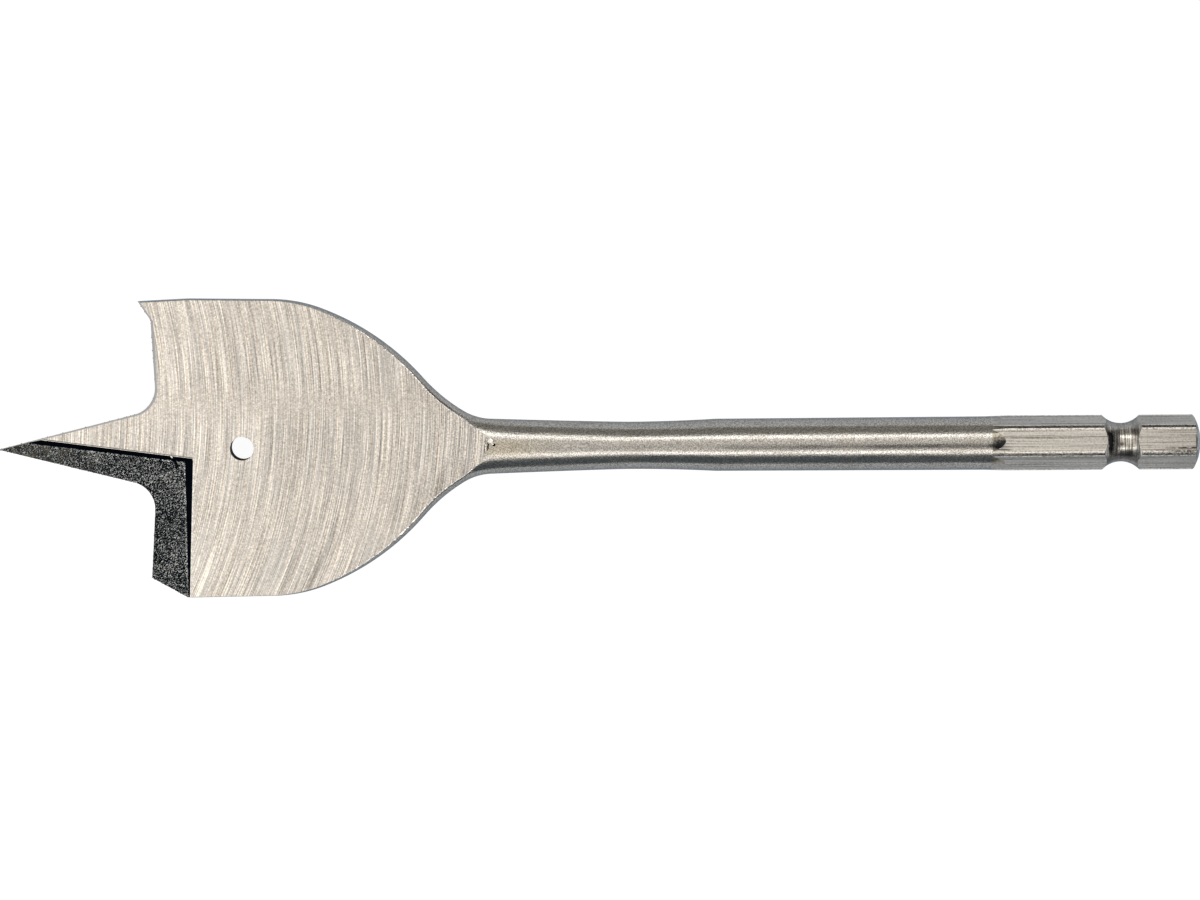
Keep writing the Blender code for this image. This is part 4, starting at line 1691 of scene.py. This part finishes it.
    def grit(self, bit: Piece) -> Piece:
        """Scatters small chips over the floors of the recesses.

        Args:
            bit: The finished bit.

        Returns:
            The grit, as a plain mesh.
        """
        floors = [i for i, finish in enumerate(bit.data.materials) if finish == Skin.BLASTED.finish]
        bm = bmesh.new()
        bm.from_mesh(bit.data)
        others = [face for face in bm.faces if face.material_index not in floors]
        bmesh.ops.delete(bm, geom=others, context="FACES")
        grit = object_of("recess_grit", bm, Skin.BLASTED.finish)
        values = {
            "Spacing": self.chip_spacing,
            "Chip radius": self.chip_radius,
            "Chip height": self.chip_height,
            "Seed": self.seed,
            "Finish": Skin.BLASTED.finish,
        }
        self.grit_group().run(grit, values)
        return grit


@dataclass
class DriveEnd:
    """The hexagonal drive: the flats with their turned run-out, and the detent groove with its rings."""

    blank: ForgedBlank
    across_flats: float = 0.0062
    groove_position: float = 0.0100
    groove_root_diameter: float = 0.00488
    groove_radius: float = 0.00323
    ring_width: float = 0.00030
    ring_depth: float = 0.000022
    round_segments: int = 128
    groove_segments: int = 240
    seed: int = 5

    def flats_cutter(self) -> Piece:
        """Makes the sleeve whose bore is the hexagon, opened by the cone of the run-out.

        Returns:
            The closed sleeve.
        """
        blank = self.blank
        length = blank.runout_length
        slope = (blank.rod_back_diameter - self.across_flats) / 2 / length
        opened = blank.rod_back_diameter / 2 + slope * length
        closed = self.across_flats / 2 - slope * length
        sleeve_end = -blank.hex_length - length / 2
        outer = blank.hex_corner_diameter / 2 + OVERCUT
        hex_radius = self.across_flats / math.sqrt(3)
        turn = -math.radians(HEX_TURN_DEG)
        tube = bar_of(self.round_segments, (OVERCUT, outer), (sleeve_end, outer))
        bore = bar_of(HEX_SIDES, (2 * OVERCUT, hex_radius), (sleeve_end - OVERCUT, hex_radius), turn)
        back, front = (-blank.hex_length + 2 * length, closed), (-blank.hex_length - length, opened)
        cone = bar_of(self.round_segments, back, front)
        sleeve = object_of("flats", tube, Skin.DRAWN.finish)
        hexagon = object_of("hexagon", bore, Skin.DRAWN.finish)
        cut(sleeve, [hexagon, object_of("runout", cone, Skin.RUNOUT.finish)])
        return sleeve

    def ring_group(self) -> NodeGroup:
        """Makes the tree that turns the groove's rippled profile about the axis.

        Returns:
            The tree.
        """
        lengths = dict.fromkeys(("Path radius", "Profile radius", "Ring width", "Ring depth"), "Float")
        counts = dict.fromkeys(("Path points", "Profile points", "Seed"), "Int")
        inputs = {"Start": "Geometry", **lengths, **counts, "Finish": "Material"}
        group = NodeGroup("turned_rings", inputs, "Cutter")
        given = group.given
        path, profile = (
            group.node(
                "GeometryNodeCurvePrimitiveCircle",
                {"Radius": given[f"{circle} radius"], "Resolution": given[f"{circle} points"]},
            ).outputs["Curve"]
            for circle in ("Path", "Profile")
        )
        place = group.node("GeometryNodeInputPosition").outputs[0]
        split = group.node("ShaderNodeSeparateXYZ", {0: place}).outputs
        over = group.maths("DIVIDE", split["Y"], given["Ring width"])
        spot = group.combine(over, given["Seed"], 0.0)
        inputs = {"Vector": spot, "Scale": 1.0, "Detail": 1.0}
        ripple = group.node("ShaderNodeTexNoise", inputs, noise_dimensions="2D").outputs[0]
        height = group.swing(ripple, given["Ring depth"])
        outwards = group.node("ShaderNodeVectorMath", {0: place}, operation="NORMALIZE").outputs[0]
        inputs = {0: outwards, "Scale": height}
        offset = group.node("ShaderNodeVectorMath", inputs, operation="SCALE").outputs[0]
        moved = group.node("GeometryNodeSetPosition", {"Geometry": profile, "Offset": offset}).outputs[0]
        swept = group.node("GeometryNodeCurveToMesh", {"Curve": path, "Profile Curve": moved})
        group.finish(swept.outputs["Mesh"])
        return group

    def groove_cutter(self) -> Piece:
        """Makes the ring that turns the detent groove.

        Returns:
            The closed ring.
        """
        ring = object_of("groove", bmesh.new(), Skin.TURNED.finish)
        values = {
            "Path radius": self.groove_root_diameter / 2 + self.groove_radius,
            "Profile radius": self.groove_radius,
            "Ring width": self.ring_width,
            "Ring depth": 2 * self.ring_depth,
            "Path points": self.round_segments,
            "Profile points": self.groove_segments,
            "Seed": self.seed,
            "Finish": Skin.TURNED.finish,
        }
        self.ring_group().run(ring, values)
        bm = bmesh.new()
        bm.from_mesh(ring.data)
        placed = Matrix.Translation((-self.groove_position, 0.0, 0.0)) @ Matrix.Rotation(math.pi / 2, 4, "Y")
        bmesh.ops.transform(bm, matrix=placed, verts=bm.verts)
        bmesh.ops.remove_doubles(bm, verts=bm.verts, dist=MERGE_DISTANCE)
        bmesh.ops.recalc_face_normals(bm, faces=bm.faces)
        bm.to_mesh(ring.data)
        bm.free()
        return ring

    def cutters(self) -> list[Piece]:
        """Makes the cutters of the flats and the groove."""
        return [self.flats_cutter(), self.groove_cutter()]


@dataclass
class Burr:
    """The burr where the ground face ends against the neck: a lip, a flake, and the tears behind them."""

    blade: GroundBlade
    low_y: float = -0.00142
    high_y: float = 0.00168
    lean: float = 0.08
    sides: int = 6
    flatness: float = 0.45
    least_radius: float = 0.000004
    lip_radius: float = 0.00010
    lip_points: int = 48
    lip_end_power: float = 0.35
    lip_radii: Span = (0.35, 1.35)
    lip_sway: Span = (-0.2, 0.9)
    lip_lift: Span = (-0.5, 0.3)
    edge_radius: float = 0.00011
    edge_sink: float = -0.000020
    edge_parts: int = 4
    edge_radii: Span = (0.3, 1.3)
    edge_full_share: float = 0.5
    flake_x: float = 0.00068
    flake_y: float = 0.00076
    flake_size: Triple = (0.00080, 0.00078, 0.00016)
    flake_lift: float = 0.000032
    flake_turn_deg: float = -38.0
    flake_ragged: Span = (-0.3, 0.25)
    sliver_place: Triple = (-0.13018, -0.00102, 0.00140)
    sliver_size: Triple = (0.00052, 0.00018, 0.00018)
    sliver_turn_deg: float = -38.0
    tear_low_y: float = -0.00040
    tear_high_y: float = 0.00075
    tear_setback: float = 0.00024
    tear_width: float = 0.00026
    tear_depth: float = 0.00024
    # The slit ahead of the lip, painted near black, stands in for the lip's shadow.
    lip_shadow_setback: float = -0.00014
    lip_shadow_width: float = 0.00010
    slit_steps: int = 14
    slit_ends: Span = (0.06, 0.94)
    slit_widths: Span = (0.6, 1.2)
    slit_sway: Span = (-0.3, 0.3)
    pit_x: float = 0.00106
    pit_y: float = 0.00036
    pit_radius: float = 0.00020
    ball_divisions: int = 2
    seed: int = 8

    @property
    def end_x(self) -> float:
        """Where the ground face ends."""
        return self.blade.blank.ground_end_x

    def top(self, x: float, y: float) -> float:
        """Gives the height of the forging's oval neck over a place."""
        half_width = self.blade.blank.neck_width / 2
        return self.blade.blank.half_thickness(x) * math.sqrt(1 - (y / half_width) ** 2)

    def cutters(self) -> list[Piece]:
        """Makes the slit ahead of the lip, which stands in for the lip's shadow, the tear behind it and the
        pit behind the flake.

        Returns:
            The cutters.
        """
        dice = random.Random(self.seed)
        before = self.slit(dice, (self.low_y, self.high_y), self.lip_shadow_setback, self.lip_shadow_width)
        behind = self.slit(dice, (self.tear_low_y, self.tear_high_y), self.tear_setback, self.tear_width)
        # Both cutters are named tear; the one ahead of the lip stands in for the lip's shadow.
        slits = [object_of("tear", bm, Skin.WALL.finish) for bm in (before, behind)]
        x = self.end_x + self.pit_x
        placed = Matrix.Translation((x, self.pit_y, self.top(x, self.pit_y)))
        bm = bmesh.new()
        bmesh.ops.create_icosphere(
            bm, subdivisions=self.ball_divisions, radius=self.pit_radius, matrix=placed
        )
        return [*slits, object_of("pit", bm, Skin.WALL.finish)]

    def slit(self, dice: random.Random, reach: Span, setback: float, width: float) -> Mesh:
        """Makes a ragged slit along the end of the ground face.

        Args:
            dice: The source of its irregularity.
            reach: Where it begins and ends along Y.
            setback: How far behind the end of the ground face it lies.
            width: Its largest width.

        Returns:
            The closed solid to take away.
        """
        bm = bmesh.new()
        sides: list[list[Corner]] = []
        for share in spread(0.0, 1.0, self.slit_steps):
            y = blend(share, *reach)
            narrowed = math.sin(math.pi * blend(share, *self.slit_ends))
            half = width / 2 * narrowed * dice.uniform(*self.slit_widths)
            x = self.end_x + self.lean * y + setback + dice.uniform(*self.slit_sway) * width
            low, high = self.top(x, y) - self.tear_depth, self.top(x, y) + self.tear_depth
            corners = ((x - half, low), (x + half, low), (x + half, high), (x - half, high))
            sides.append([bm.verts.new((px, y, pz)) for px, pz in corners])
        add_tube(bm, sides)
        bmesh.ops.recalc_face_normals(bm, faces=bm.faces)
        return bm

    def build(self) -> Piece:
        """Makes the ragged lips and edges of both faces, and the flake and the sliver on the front.

        Returns:
            The burr.
        """
        dice = random.Random(self.seed)
        bm = bmesh.new()
        for side in (1, -1):
            self.lip(bm, dice, side)
            for way in (1, -1):
                self.edge_burr(bm, dice, side, way)
        for vertex, centre in self.chip(bm, self.flake_place(), self.flake_size, self.flake_turn_deg):
            vertex.co += (vertex.co - centre) * dice.uniform(*self.flake_ragged)
        self.chip(bm, Vector(self.sliver_place), self.sliver_size, self.sliver_turn_deg)
        bmesh.ops.recalc_face_normals(bm, faces=bm.faces)
        return object_of("grinding_burr", bm, Skin.BURR.finish)

    def ring(self, bm: Mesh, centre: Vector, radius: float) -> list[Corner]:
        """Adds the corners of one ring of a thin flattened burr.

        Args:
            bm: The burr so far.
            centre: The ring's middle.
            radius: Its radius along X.

        Returns:
            The corners, in a plane along X and Z.
        """
        ring = []
        for corner in range(self.sides):
            angle = math.tau * (corner + 0.5) / self.sides
            offset = Vector((math.cos(angle), 0.0, self.flatness * math.sin(angle))) * radius
            ring.append(bm.verts.new(centre + offset))
        return ring

    def lip(self, bm: Mesh, dice: random.Random, side: int) -> None:
        """Adds one ragged lip.

        Args:
            bm: The burr so far.
            dice: The source of its irregularity.
            side: 1 for the front, -1 for the back.
        """
        rings = []
        for share in spread(0.0, 1.0, self.lip_points):
            ends = math.sin(math.pi * share) ** self.lip_end_power
            radius = self.lip_radius * ends * dice.uniform(*self.lip_radii) + self.least_radius
            y = blend(share, self.low_y, self.high_y)
            x = self.end_x + self.lean * y + dice.uniform(*self.lip_sway) * self.lip_radius
            z = self.top(x, y) + dice.uniform(*self.lip_lift) * self.lip_radius
            rings.append(self.ring(bm, Vector((x, side * y, side * z)), radius))
        add_tube(bm, rings)

    def edge_burr(self, bm: Mesh, dice: random.Random, side: int, way: int) -> None:
        """Adds the ragged burr that the wheel leaves along one edge of the shoulder, up to the lip.

        Args:
            bm: The burr so far.
            dice: The source of its irregularity.
            side: 1 for the front, -1 for the back.
            way: 1 for the edge at +Y, -1 for the one at -Y.
        """
        ends = [(s.x, self.ground_edge(s)) for s in self.blade.blank.shoulder_sections()]
        line = [Vector((x, y, self.blade.ground_height(x))) for x, y in ends if x < self.end_x]
        start_x = line[-1].x
        full_x = blend(self.edge_full_share, start_x, self.end_x)
        parts = [part / self.edge_parts for part in range(self.edge_parts)]
        stretches = zip(line[:-1], line[1:], strict=True)
        rings = []
        for place in [here.lerp(after, part) for here, after in stretches for part in parts]:
            share = smooth(place.x, start_x, full_x)
            radius = self.edge_radius * share * dice.uniform(*self.edge_radii) + self.least_radius
            spot = Vector((place.x, side * way * place.y, side * (place.z - self.edge_sink)))
            rings.append(self.ring(bm, spot, radius))
        add_tube(bm, rings)

    def ground_edge(self, section: Section) -> float:
        """Gives how far from the axis the ground face ends at one section of the forging."""
        share = min(self.blade.ground_height(section.x) / section.half_thickness, 1.0)
        return section.half_width - section.edge * (1 - math.sqrt(1 - share * share))

    def flake_place(self) -> Vector:
        """Gives the middle of the bright flake behind the lip."""
        x = self.end_x + self.flake_x
        return Vector((x, self.flake_y, self.top(x, self.flake_y) + self.flake_lift))

    def chip(self, bm: Mesh, place: Vector, size: Triple, turn_deg: float) -> list[tuple[Corner, Vector]]:
        """Adds a flattened ball.

        Args:
            bm: The burr so far.
            place: Its middle.
            size: Its length, width and height.
            turn_deg: How far it is turned about Z.

        Returns:
            Each of its corners, with its middle.
        """
        scaled = Matrix.Diagonal((*(length / 2 for length in size), 1.0))
        turned = Matrix.Translation(place) @ Matrix.Rotation(math.radians(turn_deg), 4, "Z")
        made = bmesh.ops.create_icosphere(
            bm, subdivisions=self.ball_divisions, radius=1.0, matrix=turned @ scaled
        )
        return [(vertex, place) for vertex in made["verts"]]


@dataclass
class SpadeBit:
    """The whole bit: the blank with all its cuts, in one mesh."""

    blank: ForgedBlank
    stages: tuple[GroundBlade | RakeRecess | DriveEnd | Burr, ...]

    def build(self) -> Piece:
        """Forges, grinds and turns the bit.

        Returns:
            The finished bit.
        """
        bit = self.blank.build()
        for stage in self.stages:
            cut(bit, stage.cutters())
        self.shade(bit)
        return bit

    def shade(self, bit: Piece) -> None:
        """Merges doubles, and shades round stretches smooth between sharp edges.

        Args:
            bit: The cut bit.
        """
        bm = bmesh.new()
        bm.from_mesh(bit.data)
        bmesh.ops.remove_doubles(bm, verts=bm.verts, dist=MERGE_DISTANCE)
        bm.to_mesh(bit.data)
        open_edges = sum(1 for edge in bm.edges if len(edge.link_faces) != 2)
        bm.free()
        LOG.info("bit: %d open edges", open_edges)
        bit.data.shade_smooth()
        bit.data.set_sharp_from_angle(angle=math.radians(SHARP_EDGE_DEG))


@dataclass
class Studio:
    """The pale floor, the soft lights, the cards that darken the steel's sides, and the camera."""

    middle_x: float = -0.076
    floor_z: float = -0.003475
    floor_size: float = 4.0
    floor_glow: float = 0.90
    floor_colour: Colour = (0.20, 0.20, 0.20)
    card_lift: float = 0.00002
    card_steps: int = 12
    room_light: float = 0.40
    box_distance: float = 0.62
    box_reach: Span = (-0.85, 0.27)
    camera_distance: float = 0.520
    camera_lean_deg: float = 4.7
    camera_roll_deg: float = -0.37
    camera_y: float = -0.00057
    camera_clip: Span = (0.01, 20.0)
    sensor_width: float = 36.0
    view_width: float = 0.1522
    floor_cards: tuple[FloorCard, ...] = (
        FloorCard("left_floor_card", (0.0022, 0.070), (0.76, 0.765, 0.77)),
        FloorCard("right_floor_card", (-0.070, -0.0022), (0.70, 0.715, 0.735)),
    )
    cards: tuple[Card, ...] = (
        Card("overhead_box", -44.0, 50.0, (1.16, 1.10, 1.02), (-1.0, 0.9), 0.70),
        Card("right_end_card", -92.0, 92.0, (0.13, 0.13, 0.13), (0.27, 0.9), 0.50),
        Card("left_card", 48.0, 92.0, (0.33, 0.315, 0.285), (-0.9, 0.27), 0.56),
        Card("right_card", -92.0, -43.0, (0.13, 0.15, 0.16), (-0.9, 0.27), 0.56),
        Card("lens_card", -17.0, 2.0, (0.08, 0.08, 0.08), (0.03, 0.27), 0.50),
    )
    lamps: tuple[Lamp, ...] = (
        Lamp("fill", -30.0, 30.0, WHITE, 0.9, False),
        Lamp("left_strip", 31.5, 43.5, (1.0, 0.985, 0.95), 2.3, True),
        Lamp("right_strip", -38.0, -27.5, (1.0, 0.985, 0.95), 2.0, True),
    )

    def build(self) -> None:
        """Sets up the whole studio."""
        bpy.context.scene.view_settings.view_transform = "Standard"
        self.floor()
        self.world()
        for floor_card in self.floor_cards:
            self.floor_card(floor_card)
        for card in self.cards:
            self.card(card)
        for lamp in self.lamps:
            self.lamp(lamp)
        self.camera()

    def background_share(self, graph: Graph) -> Socket:
        """Finds whether a ray shows the background: one from the camera, a mirror or glass.

        Args:
            graph: The node tree that asks.

        Returns:
            1 for such a ray, else 0.
        """
        rays = graph.node("ShaderNodeLightPath").outputs
        share = rays["Is Camera Ray"]
        for name in ("Is Glossy Ray", "Is Transmission Ray"):
            share = graph.maths("ADD", share, rays[name], clamp=True)
        return share

    def floor(self) -> None:
        """Lays the pale floor, which glows softly and keeps the bit's shadow."""
        paint = BarePaint("pale_floor")
        cloth = paint.node("ShaderNodeBsdfDiffuse", {"Color": (*self.floor_colour, 1.0)})
        strength = paint.times(self.background_share(paint), self.floor_glow)
        glow = paint.node("ShaderNodeEmission", {"Color": (*WHITE, 1.0), "Strength": strength})
        both = paint.node("ShaderNodeAddShader", {0: cloth.outputs[0], 1: glow.outputs[0]})
        paint.show(both.outputs[0])
        placed = Matrix.Translation((self.middle_x, 0.0, self.floor_z))
        bm = bmesh.new()
        bmesh.ops.create_grid(bm, x_segments=1, y_segments=1, size=self.floor_size / 2, matrix=placed)
        floor = object_of("floor", bm, paint.material)

    def world(self) -> None:
        """Surrounds the bit with a white background and a soft room light."""
        world = bpy.data.worlds.new("studio")
        bpy.context.scene.world = world
        world.use_nodes = True
        graph = Graph(world.node_tree)
        back = graph.tree.nodes["Background"]
        graph.feed(back, "Color", (*WHITE, 1.0))
        light = graph.level(self.background_share(graph), 0.0, 1.0, self.room_light, 1.0)
        graph.feed(back, "Strength", light)

    def corner(self, lean_deg: float, distance: float) -> Vector:
        """Finds the place at this distance from the bit's axis, leaning from straight up towards +Y."""
        lean = math.radians(lean_deg)
        return Vector((self.middle_x, distance * math.sin(lean), distance * math.cos(lean)))

    def lamp(self, lamp: Lamp) -> None:
        """Hangs a soft box along the bit.

        Args:
            lamp: Where it hangs and how it shines.
        """
        low, high = (self.corner(lean_deg, self.box_distance) for lean_deg in (lamp.low_deg, lamp.high_deg))
        low_x, high_x = self.box_reach
        light = bpy.data.lights.new(lamp.name, "AREA")
        light.shape = "RECTANGLE"
        light.size = high_x - low_x
        light.size_y = (high - low).length
        light.color = lamp.colour
        light.energy = lamp.level * math.pi * light.size * light.size_y
        holder = linked(lamp.name, light)
        middle = (low + high) / 2 + Vector(((low_x + high_x) / 2, 0.0, 0.0))
        lean = math.atan2(middle.y, middle.z)
        holder.matrix_world = Matrix.Translation(middle) @ Matrix.Rotation(-lean, 4, "X")
        holder.visible_camera = False
        holder.visible_glossy = lamp.shown

    def card(self, card: Card) -> None:
        """Sets up a card or a soft box's face over the bit.

        Args:
            card: Where it stands and how bright it is.
        """
        bm = bmesh.new()
        rows = []
        for lean_deg in spread(card.low_deg, card.high_deg, self.card_steps):
            place = self.corner(lean_deg, card.distance)
            rows.append([bm.verts.new(place + Vector((x, 0.0, 0.0))) for x in card.reach])
        for row, following in zip(rows[:-1], rows[1:], strict=True):
            bm.faces.new((row[0], row[1], following[1], following[0]))
        self.reflected_only(card.name, bm, card.colour)

    def floor_card(self, card: FloorCard) -> None:
        """Lays a grey card on the floor beside the bit.

        Args:
            card: Where it lies and how bright it is.
        """
        bm = bmesh.new()
        low_x, high_x = self.middle_x - self.view_width, self.middle_x + self.view_width
        low_y, high_y = card.sides
        corners = [(low_x, low_y), (high_x, low_y), (high_x, high_y), (low_x, high_y)]
        bm.faces.new([bm.verts.new((x, y, self.floor_z + self.card_lift)) for x, y in corners])
        self.reflected_only(card.name, bm, card.colour)

    def reflected_only(self, name: str, bm: Mesh, colour: Colour) -> None:
        """Makes a glowing card that lights nothing and shows only in reflections.

        Args:
            name: Its name.
            bm: Its faces, which are freed.
            colour: How bright it is.
        """
        paint = BarePaint(name)
        paint.show(paint.node("ShaderNodeEmission", {"Color": (*colour, 1.0)}).outputs[0])
        card = object_of(name, bm, paint.material)
        card.visible_camera = False
        card.visible_diffuse = False
        card.visible_shadow = False

    def camera(self) -> None:
        """Places the camera as the photograph was taken."""
        data = bpy.data.cameras.new("camera")
        data.sensor_width = self.sensor_width
        data.lens = self.sensor_width * self.camera_distance / self.view_width
        data.clip_start, data.clip_end = self.camera_clip
        lean = math.radians(self.camera_lean_deg)
        away = Vector((0.0, math.sin(lean), math.cos(lean)))
        spin = Matrix.Rotation(math.radians(self.camera_roll_deg), 3, away)
        right = spin @ Vector((1.0, 0.0, 0.0))
        up = spin @ Vector((0.0, math.cos(lean), -math.sin(lean)))
        turned = Matrix((right, up, away)).transposed().to_4x4()
        target = Vector((self.middle_x, self.camera_y, 0.0))
        camera = linked("camera", data)
        camera.matrix_world = Matrix.Translation(target + away * self.camera_distance) @ turned
        bpy.context.scene.camera = camera


def hand_over(piece: Piece) -> None:
    """Gives a piece its body, hides the imported node that it stands in for, and logs it.

    Args:
        piece: The finished piece.
    """
    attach(piece, ROOT)
    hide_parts(NODE)
    piece.data.calc_loop_triangles()
    LOG.info("%s: %d triangles", piece.name, len(piece.data.loop_triangles))


def main() -> None:
    """Builds the bit and the studio."""
    logging.basicConfig(level=logging.INFO, format="%(name)s %(message)s")
    blank = ForgedBlank()
    blade = GroundBlade(blank)
    recess = RakeRecess(blade)
    burr = Burr(blade)
    make_finishes(recess.feet())
    bit = SpadeBit(blank, (blade, recess, DriveEnd(blank), burr)).build()
    hand_over(bit)
    hand_over(recess.grit(bit))
    hand_over(burr.build())
    Studio().build()


if __name__ == "__main__":
    main()
